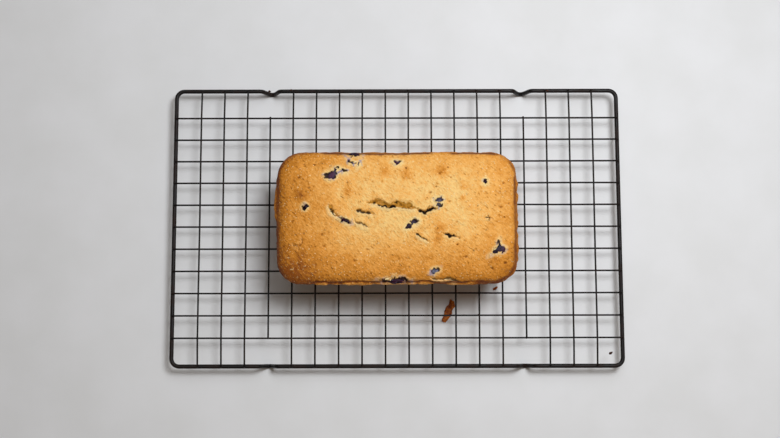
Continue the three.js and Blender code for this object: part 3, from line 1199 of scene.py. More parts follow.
    def turn_rim(
        self, places: np.ndarray, above: np.ndarray, lumps: np.ndarray, knobs: np.ndarray, marks: Marks
    ) -> np.ndarray:
        """Folds the crust at the pan's rim: a dark groove, and a lip that bulged over the pan.

        Args:
            places: the crust's places.
            above: how far each lies above the rim.
            lumps: a coarse random wave.
            knobs: a finer one.
            marks: what the places are made of.

        Returns:
            How far each place moves outwards.
        """
        x, y = (places[:, :2] - self.middle).T
        inset = self.inset_of(places[:, :2])
        top = above > 0.4
        long, wide_half = self.half
        front = soft_step(-y, wide_half - 9, wide_half - 4) * band(x, -74, 102, 8)
        back = soft_step(y, wide_half - 9, wide_half - 4)
        back = back * (band(x, -62, 28, 6) + band(x, 48, 84, 6))
        right = soft_step(x, long - 9, long - 4)
        right = right * (0.5 + band(y, 14, 32, 5) + band(y, -50, -14, 5))
        left = soft_step(-x, long - 9, long - 4)
        shift = np.zeros(len(places))
        under_front = front * band(x, -76, 64, 8)
        rest = np.clip(front - under_front + 1.5 * right, 0, 1)
        for strength, at, wide, deep, light in (
            (1.2 * under_front, 1.6 + 0.9 * lumps + 0.6 * knobs, 0.7, 0.8, 1.0),
            (rest, 1.4 + 0.8 * lumps + 0.6 * knobs, 1.5, 0.4, 0.0),
            (2.0 * back, 1.2 + 0.8 * lumps + 0.7 * knobs, 1.4, 0.6, 0.0),
            (0.65 * left, 1.0 + 0.7 * lumps, 1.9, 0.2, 0.0),
        ):
            groove = np.clip(strength * (0.85 + 0.3 * lumps), 0, 1) * hill(inset, at, wide) * top
            shift -= deep * groove
            marks.paint("singed", 0.92 * groove)
            outside = light * strength * soft_step(at - inset, 0.6, 1.3) * top
            marks.browned += outside * (0.5 - marks.browned)
            shift += 0.3 * outside * (1 + knobs)
        bump = left * band(y, -2, 26, 4) * hill(above, 0.5, 2.0)
        bump += 0.4 * right * hill(above, 0.2, 1.4)
        marks.browned += np.clip(bump, 0, 1) * (0.62 - marks.browned)
        marks.singed *= 1 - 0.8 * np.clip(bump, 0, 1)
        return shift + 1.6 * bump * (1 + 0.4 * knobs)

    def baked(self, plan: np.ndarray, lip: np.ndarray) -> np.ndarray:
        """Browns the crust: least on the crown and most by the pan; the brown at the left and front is
        partly painted shade, where the loaf faces away from the lamps.

        Args:
            plan: x and y of the crust's places.
            lip: how near each lies to the rim, from 0 to 1.

        Returns:
            How far each place has browned, with that painted shade, from 0 to 1.
        """
        x, y = (plan - self.middle).T
        # Browner to the left and front: partly painted shade, as those sides face away from the lamps;
        # the rise to the right and back is browning.
        sideways = 0.5 * soft_step(-x, 22, 104) + 0.28 * soft_step(x, 50, 104)
        lengthways = 0.5 * soft_step(-y, 2, 58) + 0.16 * soft_step(y, 26, 58)
        inset = np.clip(self.inset_of(plan), 0, None)
        edge = 0.34 * np.exp(-inset / 2.6)
        # The extra brown at the left edge is partly painted shade too.
        edge = edge + 0.16 * np.exp(-inset / 6) * soft_step(-x, 60, 100) + 0.1 * lip
        return 0.12 + sideways + lengthways * (1 - 0.6 * sideways) + edge

    def tear(self, torn: np.ndarray, lumps: np.ndarray, knobs: np.ndarray, marks: Marks) -> None:
        """Opens the cracks: a sloping far wall of torn crumb, darkened with painted shade, painted shade
        at the bottom and a short pale lip on the near one.

        Args:
            torn: x and y of the crust's places, shaken so that edges are ragged.
            lumps: a coarse random wave.
            knobs: a finer one.
            marks: what the places are made of, with their painted shade.
        """
        crumbs = smooth_noise(torn, 1.3, 47)
        for crack in self.cracks:
            signed, along = along_line(torn, crack.points)
            fade = soft_step(np.minimum(along, 1 - along), -0.02, 0.16)
            far = crack.far_width * (0.35 + 0.65 * fade) * (1 + 0.25 * lumps)
            near = crack.near_width * (0.35 + 0.65 * fade) * (1 + 0.25 * knobs)
            slope = np.where(signed > 0, 1 - signed / far, 1 + signed / near)
            slope = np.clip(slope, 0, 1) * (0.3 + 0.7 * fade)
            marks.sink += crack.depth * slope ** np.where(signed > 0, 1.3, 0.8)
            marks.sink += 0.35 * crumbs * soft_step(slope, 0.05, 0.3)
            near_lip = hill(signed, -near - 0.7, 1.1)
            far_lip = hill(signed, far + 1, 1.5)
            marks.sink -= crack.lip * (near_lip + 0.5 * far_lip) * fade
            # Painted shade: dark brown in the deepest part of the crack.
            dark = soft_step(slope + 0.4 * knobs + 0.3 * crumbs, crack.dark_from, crack.dark_from + 0.16)
            marks.paint("hollow_shade", crack.dark * dark)
            # The far wall: torn crumb darkened as painted shade, flecked with darker painted shade.
            far_wall = soft_step(slope + 0.15 * crumbs, 0.08, 0.4) * (signed > 0)
            marks.paint("olive_and_shade", crack.pale * (0.8 + 0.25 * crumbs) * far_wall)
            marks.paint("hollow_shade", 0.45 * soft_step(crumbs, 0.3, 0.8) * far_wall)
            marks.paint("crumb", crack.pale * soft_step(slope, 0.05, 0.4) * (signed <= 0))
            marks.paint("crumb", 0.4 * crack.pale * near_lip * fade)
            marks.browned -= 0.15 * near_lip * fade

    def break_open(self, torn: np.ndarray, lumps: np.ndarray, knobs: np.ndarray, marks: Marks) -> None:
        """Opens the crust over the berries, with a ragged edge, a raised lip, a damp halo and a juice
        stain with a painted sheen.

        Args:
            torn: x and y of the crust's places, shaken so that edges are ragged.
            lumps: a coarse random wave.
            knobs: a finer one.
            marks: what the places are made of, with their painted sheen.
        """
        ragged = torn + 1.3 * plan_noise(torn, 2.9, 41) + 0.7 * plan_noise(torn, 1.2, 43)
        damp = smooth_noise(torn, 2.2, 45)
        for hole in self.openings:
            depth_in = inside_ellipse(ragged, hole, 0.4) + 0.2 * knobs
            opened = soft_step(depth_in, -0.1, 0.5)
            marks.sink += hole.depth * opened
            rim = hill(depth_in, -0.8, 0.8)
            marks.sink -= 0.35 * rim * (1 + lumps)
            halo = inside_ellipse(torn, hole, self.damp_reach) + 0.9 * lumps
            halo = soft_step(halo, 0.2, 4.4) * hole.halo
            marks.paint("moist", 0.5 * halo)
            marks.paint("juice", 0.95 * soft_step(depth_in, -0.35, 0.3))
            # A juice stain just outside the hole, lilac-grey as a painted wet sheen.
            stain_and_sheen = soft_step(depth_in, -2.2, -0.4) * soft_step(damp, 0.05, 0.6)
            marks.paint("juice_stain_and_sheen", 0.7 * hole.juice_stain_and_sheen * stain_and_sheen)
            marks.paint("crumb", 0.3 * rim * (1 - opened))
            marks.browned -= 0.16 * halo

    def pock(self, plan: np.ndarray, lumps: np.ndarray, knobs: np.ndarray, marks: Marks) -> None:
        """Sinks the small pits where steam came out, painted darker as shade, and raises the humps over
        hidden berries.

        Args:
            plan: x and y of the crust's places.
            lumps: a coarse random wave.
            knobs: a finer one.
            marks: what the places are made of, with their painted shade.
        """
        for number, (x, y) in enumerate(self.pits):
            size = self.pit_size + 0.4 * math.sin(number * 2.3)
            reach = np.hypot(plan[:, 0] - x, (plan[:, 1] - y) * 1.3) / (size + 0.4 * knobs)
            pit = np.exp(-(reach**2))
            marks.sink += self.pit_depth * pit
            # Painted shade in the pits: dark brown in the middle, browner round it.
            marks.paint("hollow_shade", 0.55 * pit**2)
            marks.browned += 0.2 * pit
        for number, (x, y) in enumerate(self.humps):
            size = self.hump_size + 1.2 * math.sin(number) + lumps
            hump = np.exp(-((np.hypot(plan[:, 0] - x, plan[:, 1] - y) / size) ** 2))
            marks.sink -= self.hump_height * hump
            marks.browned += 0.4 * hump

    def stain_walls(self, piece: bpy.types.Object) -> None:
        """Lets juice soak into the walls round the berries that lay against the pan.

        Args:
            piece: the loaf.
        """
        places = read_places(piece)
        shake = np.column_stack([smooth_noise(places, 3, 50 + axis) for axis in range(3)])
        ragged = places + 0.9 * shake
        stain = np.zeros(len(places))
        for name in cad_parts:
            low, high = node_box(name)
            if name.startswith("berry") and high[2] < self.rim - 4:
                gap = np.linalg.norm(ragged - (low + high) / 2, axis=1) - (high[2] - low[2]) / 2
                stain = np.maximum(stain, 1 - soft_step(gap, -0.2, 2.4))
        values = np.empty(len(places), np.float32)
        layer = piece.data.attributes["juice"]
        layer.data.foreach_get("value", values)
        layer.data.foreach_set("value", np.maximum(values, 0.6 * stain).astype(np.float32))

    def build(self) -> None:
        """Builds the loaf, dresses it and ties it to the frame."""
        piece = self.add_body()
        self.weather(piece)
        self.stain_walls(piece)
        finish_piece(piece, self.crust.build(), Body.CAKE, Slot.CRUST, "loaf")


# --- Berries ---------------------------------------------------------------------------


@dataclass(frozen=True)
class Berry:
    """One berry: its CAD node, where its skin shows, half sizes and turn in degrees."""

    node: str
    x: float
    y: float
    size: tuple[float, float, float]
    turn: float = 0.0
    proud: float = 0.0
    burst: float = 0.0
    # How much painted glint the skin carries.
    painted_glint: float = 0.0


@dataclass
class TopBerries:
    """The berries that broke the top crust, wrinkled, some burst, some with their crown."""

    rings: int = 22
    around: int = 30
    wrinkle_mm: float = 1.6
    berries: tuple[Berry, ...] = (
        Berry("berry_back_left", -53.6, 37.9, (6.4, 5.4, 4.4), 35, -0.2, 0.35, 0.15),
        Berry("berry_back_left_small", -35.2, 47.2, (4.9, 4.2, 4.0), 0, -0.5, 0.1, 0.5),
        Berry("berry_back_rim", -36.2, 54.9, (6.4, 3.0, 4.0), 0, -0.5, 0.1, 0.0),
        Berry("berry_back_middle", -0.2, 48.4, (3.6, 3.2, 3.6), 0, -0.7, 0.5, 0.2),
        Berry("berry_left", -77.4, 9.6, (3.4, 3.2, 3.6), 0, -0.7, 0.0, 0.0),
        Berry("berry_left_crack", -43.3, -2.2, (5.2, 2.9, 3.4), -20, -0.9, 0.1, 0.0),
        Berry("berry_crack_end", 35.6, 13.8, (4.6, 4.6, 4.2), 15, -0.3, 0.4, 0.3),
        Berry("berry_middle", 11.8, -5.5, (6.4, 3.6, 4.2), 30, -0.3, 0.45, 0.1),
        Berry("berry_back_right", 75.3, 31.4, (3.4, 3.4, 3.6), 0, -0.7, 0.0, 0.0),
        Berry("berry_right_front", 85.8, -26.3, (7.2, 5.2, 4.6), 16, 0.0, 0.4, 0.1),
        Berry("berry_front_right", 32, -44.9, (4.0, 3.6, 3.8), 0, -0.4, 0.1, 0.8),
        Berry("berry_front_rim", -1.2, -52.2, (10.6, 3.2, 4.2), -3, -0.6, 0.3, 0.0),
    )

    def add_ball(self, name: str) -> bpy.types.Object:
        """Models one round berry with the five-pointed crown pressed into its blossom end.

        Args:
            name: its name.

        Returns:
            A berry a millimetre in radius, round the origin.
        """
        deselect_all()
        bpy.ops.mesh.primitive_uv_sphere_add(segments=self.around, ring_count=self.rings, radius=MM)
        piece = name_piece(name)
        turn_outwards(piece)
        places = read_places(piece)
        angle = np.arctan2(places[:, 1], places[:, 0])
        out = np.hypot(places[:, 0], places[:, 1])
        star = 0.3 + 0.09 * np.cos(5 * angle)
        crown = hill(out, star, 0.07) * (places[:, 2] > 0)
        cup = hill(out, 0, 0.22) * (places[:, 2] > 0)
        write_places(piece, places * (1 + 0.06 * crown - 0.16 * cup)[:, None])
        return piece

    def place(self, piece: bpy.types.Object, berry: Berry, top: float, number: int) -> None:
        """Sizes, turns, wrinkles and sets one berry.

        Args:
            piece: the round berry.
            berry: what it should become.
            top: the height of the crust over it.
            number: picks its wrinkles.
        """
        unit = read_places(piece)
        tilt = math.radians(50 + 37 * number)
        lean = np.array([
            [math.cos(tilt), 0, math.sin(tilt)],
            [0, 1, 0],
            [-math.sin(tilt), 0, math.cos(tilt)],
        ])
        unit = unit @ lean.T
        own = unit * np.array(berry.size)
        wrinkles = smooth_noise(own + 40 * number, self.wrinkle_mm, 60 + number)
        folds = smooth_noise(own + 40 * number, 3.3, 90 + number)
        own *= (1 + 0.035 * wrinkles - 0.08 * np.abs(folds))[:, None]
        own[:, :2] = turned(own[:, :2], berry.turn)
        centre = np.array([berry.x, berry.y, top + berry.proud - berry.size[2]])
        write_places(piece, own + centre)
        write_attribute(piece, "burst", np.clip(berry.burst * (1.6 * folds + 0.6), 0, 1))
        # Where the skin carries painted glints.
        write_attribute(piece, "painted_glint", np.clip(berry.painted_glint * (0.8 + 0.8 * wrinkles), 0, 1))

    def build(self, loaf: Loaf) -> None:
        """Builds every top berry at its place in the loaf's crust.

        Args:
            loaf: the finished loaf.
        """
        skin = BerrySkin().build()
        first = self.add_ball("blueberry")
        for number, berry in enumerate(self.berries):
            piece = copy_piece(first, berry.node.replace("berry", "blueberry"))
            self.place(piece, berry, loaf.crust_height(berry.x, berry.y), number)
            finish_piece(piece, skin, Body.CAKE, Slot.BERRY, berry.node)
        bpy.data.objects.remove(first)


@dataclass
class SideBerries:
    """The berries that lay against the pan, pressed flush with the loaf's walls."""

    rings: int = 20
    around: int = 28
    proud: float = 0.45

    def build(self, loaf: Loaf) -> None:
        """Builds one flattened berry for each such node, at the node's place.

        Args:
            loaf: the finished loaf.
        """
        skin = BerrySkin().build()
        deselect_all()
        bpy.ops.mesh.primitive_uv_sphere_add(segments=self.around, ring_count=self.rings, radius=MM)
        first = name_piece("pressed_blueberry")
        turn_outwards(first)
        unit = read_places(first)
        names = sorted(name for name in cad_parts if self.is_low(name))
        for number, name in enumerate(names):
            low, high = node_box(name)
            middle, half = (low + high) / 2, (high - low) / 2
            piece = copy_piece(first, name.replace("berry", "blueberry"))
            grown = half.copy()
            across = int(np.argmin(half[:2]))
            out = 1.0 if middle[across] > loaf.middle[across] else -1.0
            grown[across] += self.proud / 2
            squared = unit.copy()
            squared[:, across] = np.sign(unit[:, across]) * np.abs(unit[:, across]) ** 0.6
            own = squared * grown
            wrinkles = smooth_noise(own + 30 * number, 1.5, 200 + number)
            folds = smooth_noise(own + 30 * number, 3.2, 230 + number)
            own *= (1 + 0.03 * wrinkles - 0.06 * np.abs(folds))[:, None]
            middle[across] += out * self.proud / 2
            write_places(piece, own + middle)
            write_attribute(piece, "burst", np.clip(0.5 * folds + 0.2, 0, 1))
            finish_piece(piece, skin, Body.CAKE, Slot.BERRY, name)
        bpy.data.objects.remove(first)

    def is_low(self, name: str) -> bool:
        """Whether a node is a berry on a wall, below the rim."""
        is_end = name.endswith("_end") and "crack" not in name
        return name.startswith("berry") and ("_side_" in name or is_end)


def scatter(first: bpy.types.Object, places: list[tuple[float, ...]], name: str) -> bpy.types.Object:
    """Copies one small piece to many places, and joins the copies.

    Args:
        first: the piece, round the origin; it is used up.
        places: x, y, z, size and turn in degrees for each copy, in millimetres.
        name: the joined piece's name.

    Returns:
        The joined piece.
    """
    copies = []
    for x, y, z, size, turn in places:
        copy = copy_piece(first, name)
        own = read_places(copy) * size
        own[:, :2] = turned(own[:, :2], turn)
        write_places(copy, own + np.array([x, y, z]))
        copies.append(copy)
    bpy.data.objects.remove(first)
    deselect_all()
    for copy in copies:
        copy.select_set(True)
    bpy.context.view_layer.objects.active = copies[0]
    bpy.ops.object.join()
    return name_piece(name)


@dataclass
class SugarGrains:
    """Pale grains baked on the crust: most to the right of the crown, some at the left."""

    places: tuple[Point, ...] = (
        (-88.7, 44.5), (-94.2, 42), (-71, 45.5), (-67.3, 54), (-74.6, 54.5), (-72, -15.8),
        (-80.8, -36.7), (-58.6, -36.8), (-77, -40.3), (-30.4, -29.4), (-25, -31.6), (-14.4, -33.7),
        (-44.4, -47.7), (-94.2, 1.3), (73, 42.6), (76.3, 42.6), (75.4, 36), (78.2, 32.7),
        (82.7, 32.4), (64.3, 27.9), (87.4, 27.7), (88.5, 25.2), (95, 32.4), (98.6, 28.7), (73, 22.7),
        (81.4, 22.4), (56.5, 19.3), (46.4, 18.6), (63, 16.3), (59.3, 13.7), (61.8, 10.8),
        (60.7, 9.4), (51.6, 10), (83.4, 47), (22, -42.6), (97, -20.3),
    )
    size: float = 0.55
    fine_count: int = 110
    fine_size: float = 0.34
    seed: int = 5

    def build(self, loaf: Loaf) -> None:
        """Builds all the grains as one piece that lies on the crust.

        Args:
            loaf: the finished loaf.
        """
        deselect_all()
        bpy.ops.mesh.primitive_ico_sphere_add(subdivisions=1, radius=MM)
        grain = name_piece("grain")
        enter_edit(grain)
        bpy.ops.transform.resize(value=(1.0, 0.8, 0.5))
        leave_edit()
        draw = np.random.default_rng(self.seed)
        spots = []
        for number, (x, y) in enumerate(self.places):
            size = self.size * (0.8 + 0.4 * draw.random())
            spots.append((x, y, loaf.surface(x, y) + 0.12, size, 37.0 * number))
        for _ in range(self.fine_count):
            x = loaf.middle[0] + (draw.random() * 2 - 1) * (loaf.half[0] - 9)
            y = loaf.middle[1] + (draw.random() * 2 - 1) * (loaf.half[1] - 9)
            size = self.fine_size * (0.7 + 0.6 * draw.random())
            spots.append((x, y, loaf.surface(x, y) + 0.05, size, 360 * draw.random()))
        piece = scatter(grain, spots, "sugar_grains")
        finish_piece(piece, SugarGrain().build(), Body.CAKE, Slot.CRUST)


@dataclass
class TornCrumbs:
    """Shreds of crumb that hang over the berries: x, y, size and turn in degrees of each."""

    shreds: tuple[tuple[float, ...], ...] = (
        (-49.2, 41.4, 2.1, 30), (-48.6, 39.6, 1.2, 80), (-51.4, 43.0, 1.0, 10),
        (-35.4, 48.4, 1.3, 10), (-33.6, 44.9, 0.7, 60), (-8.2, -51.0, 1.5, 15),
        (-5.6, -51.6, 0.9, 70), (33.2, 12.6, 1.1, 20), (37.9, 12.2, 0.8, 0),
        (13.1, -5.0, 0.7, 45), (32.4, -43.6, 0.7, 100), (82.6, -26.4, 0.9, 30),
        (-52.6, 3.2, 1.0, 120), (-47.4, 1.3, 0.9, 30), (-41.2, -2.7, 0.7, 60),
    )

    def build(self, loaf: Loaf) -> None:
        """Builds all the shreds as one piece.

        Args:
            loaf: the finished loaf.
        """
        deselect_all()
        bpy.ops.mesh.primitive_ico_sphere_add(subdivisions=3, radius=MM)
        shred = name_piece("shred")
        own = read_places(shred)
        own *= (1 + 0.35 * smooth_noise(own, 0.7, 91))[:, None] * np.array([1.25, 0.55, 0.5])
        write_places(shred, own)
        spots = [
            (x, y, min(loaf.surface(x, y) + 0.6, loaf.crust_height(x, y) + 0.1), size, turn)
            for x, y, size, turn in self.shreds
        ]
        piece = scatter(shred, spots, "torn_crumbs")
        finish_piece(piece, TornCrumb().build(), Body.CAKE, Slot.CRUST)


# --- The rack --------------------------------------------------------------------------


def across_line(line: np.ndarray, ways: np.ndarray) -> tuple[np.ndarray, np.ndarray]:
    """Finds the two directions square to a wire at each of its points.

    Args:
        line: the points of its middle.
        ways: the wire's direction at each point, of any length.

    Returns:
        The level direction to its right and the one that points up, one row each.
    """
    ways = ways / np.linalg.norm(ways, axis=1)[:, None]
    flat = ways * np.array([1, 1, 0])
    flat /= np.linalg.norm(flat, axis=1)[:, None]
    sideways = np.column_stack([flat[:, 1], -flat[:, 0], np.zeros(len(line))])
    return sideways, np.cross(sideways, ways)


def round_corners(corners: list[tuple[float, float, float, float]], steps: int) -> np.ndarray:
    """Rounds each corner of a closed run.

    Args:
        corners: x, y, z and bend radius of each corner, in millimetres.
        steps: how many stretches each bend gets.

    Returns:
        The run's points, one row each.
    """
    at = np.array(corners)[:, :3]
    points = []
    for number, (here, radius) in enumerate(zip(at, np.array(corners)[:, 3])):
        back = at[number - 1] - here
        on = at[(number + 1) % len(at)] - here
        back, on = back / np.linalg.norm(back), on / np.linalg.norm(on)
        half = math.acos(float(np.clip(back @ on, -1, 1))) / 2
        to_middle = (back + on) / np.linalg.norm(back + on)
        middle = here + to_middle * radius / math.sin(half)
        first = here + back * radius / math.tan(half) - middle
        last = here + on * radius / math.tan(half) - middle
        sweep = math.pi - 2 * half
        for step in range(steps + 1):
            part = step / steps
            mixed = first * math.sin((1 - part) * sweep) + last * math.sin(part * sweep)
            points.append(middle + mixed / math.sin(sweep))
    return np.array(points)


@dataclass
class WireRack:
    """The footed wire rack: a heavy frame wire and two layers of thin wires welded to it."""

    frame_wire: float = 3.8
    corner: float = 7.0
    foot_mouth: float = 16.2
    foot_sole: float = 4.0
    foot_shoulder: float = 4.0
    foot_toe: float = 3.0
    foot_drop: float = 13.0
    foot_cross_wire: str = "cross_wire_15"
    grid_shift: float = 0.3  # how far the welded grid sits to the right of the frame's middle
    thin_wire: float = 1.6
    sides: int = 14
    thin_sides: int = 10
    bend_steps: int = 7
    line_points: int = 24
    wave: float = 0.14
    wave_mm: float = 70
    end_size: float = 0.62
    end_reach: float = 0.35
    burnt: tuple[tuple[float, ...], ...] = (
        (189.5, -114.2, 19.2, 1.5, 20), (190.6, -113.4, 19.9, 0.9, 70), (-116.2, 124.5, 17.0, 1.3, 0),
        (-96.4, 126.0, 16.9, 0.9, 40), (138.1, 124.6, 17.0, 1.0, 10), (-201.6, -40.2, 16.7, 0.8, 0),
        (72.8, -79.6, 18.6, 0.8, 30), (-52.1, 99.2, 18.4, 0.7, 0), (156.9, 39.1, 18.5, 0.8, 60),
    )

    def __post_init__(self) -> None:
        """Takes the wires' places from the frame."""
        front, right = node_box("frame_wire_front"), node_box("frame_wire_right")
        self.half_long = right[1][0] - self.frame_wire / 2
        self.top = front[1][2] - self.frame_wire / 2
        self.half_wide = -front[0][1] - self.frame_wire / 2

    def cut_wire(self, points: int) -> bpy.types.Object:
        """Models a short straight wire, with a ring of corners for each point of a line.

        Args:
            points: how many points the line has.

        Returns:
            The wire: a millimetre in radius and long, round the origin.
        """
        deselect_all()
        bpy.ops.mesh.primitive_cylinder_add(
            vertices=self.thin_sides, radius=MM, depth=MM, end_fill_type="NGON"
        )
        piece = name_piece("straight_wire")
        subdivide_chosen(piece, "EDGE", upright_edges(piece, 0.5), points)
        return piece

    def bend_wire(self, piece: bpy.types.Object, line: np.ndarray, seed: int) -> None:
        """Bends a straight wire to its line, and rounds its ends.

        Args:
            piece: the wire, cut for the line's points.
            line: the points of its middle, in millimetres.
            seed: picks its slight waviness.
        """
        raw = read_places(piece)
        ring = np.rint((raw[:, 2] + 0.5) * (len(line) + 1)).astype(int)
        inner = np.clip(ring - 1, 0, len(line) - 1)
        is_end = (ring == 0) | (ring == len(line) + 1)
        ways = np.gradient(line, axis=0)
        ways /= np.linalg.norm(ways, axis=1)[:, None]
        sideways, upwards = across_line(line, ways)
        radius = self.thin_wire / 2
        size = np.where(is_end, self.end_size, 1.0) * radius
        out = raw[:, :1] * sideways[inner] + raw[:, 1:2] * upwards[inner]
        push = np.where(is_end, np.where(ring == 0, -1.0, 1.0), 0.0) * self.end_reach * radius
        centres = line[inner] + ways[inner] * push[:, None]
        sway = smooth_noise(centres[:, :2] + 9 * seed, self.wave_mm, seed) * self.wave
        centres = centres + sideways[inner] * sway[:, None]
        write_places(piece, centres + out * size[:, None])
        turn_outwards(piece)

    def frame_line(self) -> np.ndarray:
        """Runs the middle of the frame wire round the rack and down into its feet.

        Returns:
            The points of the closed line, in millimetres, one row each.
        """
        toe = self.top - self.foot_drop
        x_foot = node_box(self.foot_cross_wire)[0][0] + self.thin_wire / 2 - self.grid_shift
        corners = []
        for side in (-1, 1):
            y = side * self.half_wide
            corners.append((side * self.half_long, y, self.top, self.corner))
            for foot in (side, -side):
                for offset, level, radius in (
                    (self.foot_mouth / 2, self.top, self.foot_shoulder),
                    (self.foot_sole / 2, toe, self.foot_toe),
                    (-self.foot_sole / 2, toe, self.foot_toe),
                    (-self.foot_mouth / 2, self.top, self.foot_shoulder),
                ):
                    corners.append((foot * x_foot + side * offset, y, level, radius))
            corners.append((-side * self.half_long, y, self.top, self.corner))
        return round_corners(corners, self.bend_steps)

    def lay_frame(self) -> bpy.types.Object:
        """Models the frame: a ring of heavy wire with four V-shaped feet, worn flat below.

        Returns:
            The frame, from a torus a metre in radius that is bent to the frame's line.
        """
        line = self.frame_line()
        ring_radius = 0.25
        deselect_all()
        bpy.ops.mesh.primitive_torus_add(
            major_segments=len(line),
            minor_segments=self.sides,
            major_radius=1.0,
            minor_radius=ring_radius,
        )
        piece = name_piece("frame_wire")
        raw = read_places(piece) * MM
        turn = np.arctan2(raw[:, 1], raw[:, 0]) / TAU * len(line)
        number = np.rint(turn).astype(int) % len(line)
        sideways, upwards = across_line(line, np.roll(line, -1, axis=0) - np.roll(line, 1, axis=0))
        out = (np.hypot(raw[:, 0], raw[:, 1]) - 1) / ring_radius
        up = raw[:, 2] / ring_radius
        offset = out[:, None] * sideways[number] + up[:, None] * upwards[number]
        places = line[number] + offset * (self.frame_wire / 2)
        places[:, 2] = np.maximum(places[:, 2], 0)
        write_places(piece, places)
        turn_outwards(piece)
        return piece

    def build(self) -> None:
        """Builds and dresses the wires, their welds and what has burnt on them."""
        coat = BakedCoating().build()
        sides = [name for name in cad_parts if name.startswith("frame_wire")]
        ring = self.lay_frame()
        finish_piece(ring, coat, Body.RACK, Slot.COATING, *sides)
        thin = sorted(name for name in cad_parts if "_wire_" in name and name not in sides)
        straight: dict[int, bpy.types.Object] = {}
        for number, name in enumerate(thin):
            line = self.thin_line(name)
            if len(line) not in straight:
                straight[len(line)] = self.cut_wire(len(line))
            piece = copy_piece(straight[len(line)], name + "_coated")
            self.bend_wire(piece, line, number)
            finish_piece(piece, coat, Body.RACK, Slot.COATING, name)
        for first in straight.values():
            bpy.data.objects.remove(first)
        self.add_welds(thin, coat)
        self.add_burnt_bits()

    def is_bent(self, name: str) -> bool:
        """Whether a cross wire bends down to the frame, and so is taller than it is thick."""
        low, high = node_box(name)
        return high[2] - low[2] > 1.5 * self.thin_wire

    def thin_line(self, name: str) -> np.ndarray:
        """Runs the middle line of a thin wire through its node's box.

        Args:
            name: the node, a long or a cross wire.

        Returns:
            The line's points, in millimetres, one row each.
        """
        low, high = node_box(name)
        x, y = (low[:2] + high[:2]) / 2
        count = self.line_points
        if name.startswith("long"):
            along = np.linspace(low[0], high[0], count)
            level = np.full(count, low[2] + self.thin_wire / 2)
            return np.column_stack([along, np.full(count, y), level])
        top = high[2] - self.thin_wire / 2
        if not self.is_bent(name):
            along = np.linspace(low[1] + 1.1, high[1] - 1.1, count)
            return np.column_stack([np.full(count, x), along, np.full(count, top)])
        ends = low[1] + np.array([0, 4, 14, 24])
        between = np.linspace(low[1] + 34, high[1] - 34, 14)
        along = np.concatenate([ends, between, (low[1] + high[1] - ends)[::-1]])
        from_end = np.minimum(along - low[1], high[1] - along)
        drop = (high[2] - low[2] - self.thin_wire) * (1 - soft_step(from_end, 3.4, 22))
        return np.column_stack([np.full(len(along), x), along, top - drop])

    def add_welds(self, thin: list[str], coat: bpy.types.Material) -> None:
        """Pools the coating over the weld at every crossing of two wires.

        Args:
            thin: the nodes of the thin wires.
            coat: the coating.
        """
        crosses = [name for name in thin if name.startswith("cross")]
        longs = [node_box(name) for name in thin if name.startswith("long")]
        frame_top = self.top + self.frame_wire / 2
        small, large = 1.0, 1.25
        spots = []
        for name in crosses:
            low, high = node_box(name)
            x = (low[0] + high[0]) / 2
            for long_low, long_high in longs:
                y = (long_low[1] + long_high[1]) / 2
                spots.append((x, y, (long_high[2] + high[2] - self.thin_wire) / 2, small, 0.0))
            if self.is_bent(name):
                for y in (-self.half_wide, self.half_wide):
                    spots.append((x, y, frame_top, large, 0.0))
        for low, high in longs:
            for x in (-self.half_long, self.half_long):
                spots.append((x, (low[1] + high[1]) / 2, frame_top, large, 0.0))
        deselect_all()
        bpy.ops.mesh.primitive_uv_sphere_add(segments=8, ring_count=5, radius=MM)
        weld = name_piece("weld")
        enter_edit(weld)
        bpy.ops.transform.resize(value=(1.05, 1.05, 0.8))
        leave_edit()
        finish_piece(scatter(weld, spots, "weld_spots"), coat, Body.RACK, Slot.COATING)

    def add_burnt_bits(self) -> None:
        """Adds the few hard brown drips of old batter that burnt on the wires."""
        deselect_all()
        bpy.ops.mesh.primitive_ico_sphere_add(subdivisions=3, radius=MM)
        bit = name_piece("bit")
        own = read_places(bit)
        own *= (1 + 0.28 * smooth_noise(own, 0.8, 77))[:, None] * np.array([1.0, 0.8, 0.6])
        write_places(bit, own)
        piece = scatter(bit, list(self.burnt), "burnt_on_drips")
        burnt = PanCrust(name="burnt_on_batter", browns=((0.35, "1B0C05"), (0.62, "4A220C")))
        finish_piece(piece, burnt.build(), Body.RACK, Slot.PAN_SIDE)


# --- What fell -------------------------------------------------------------------------


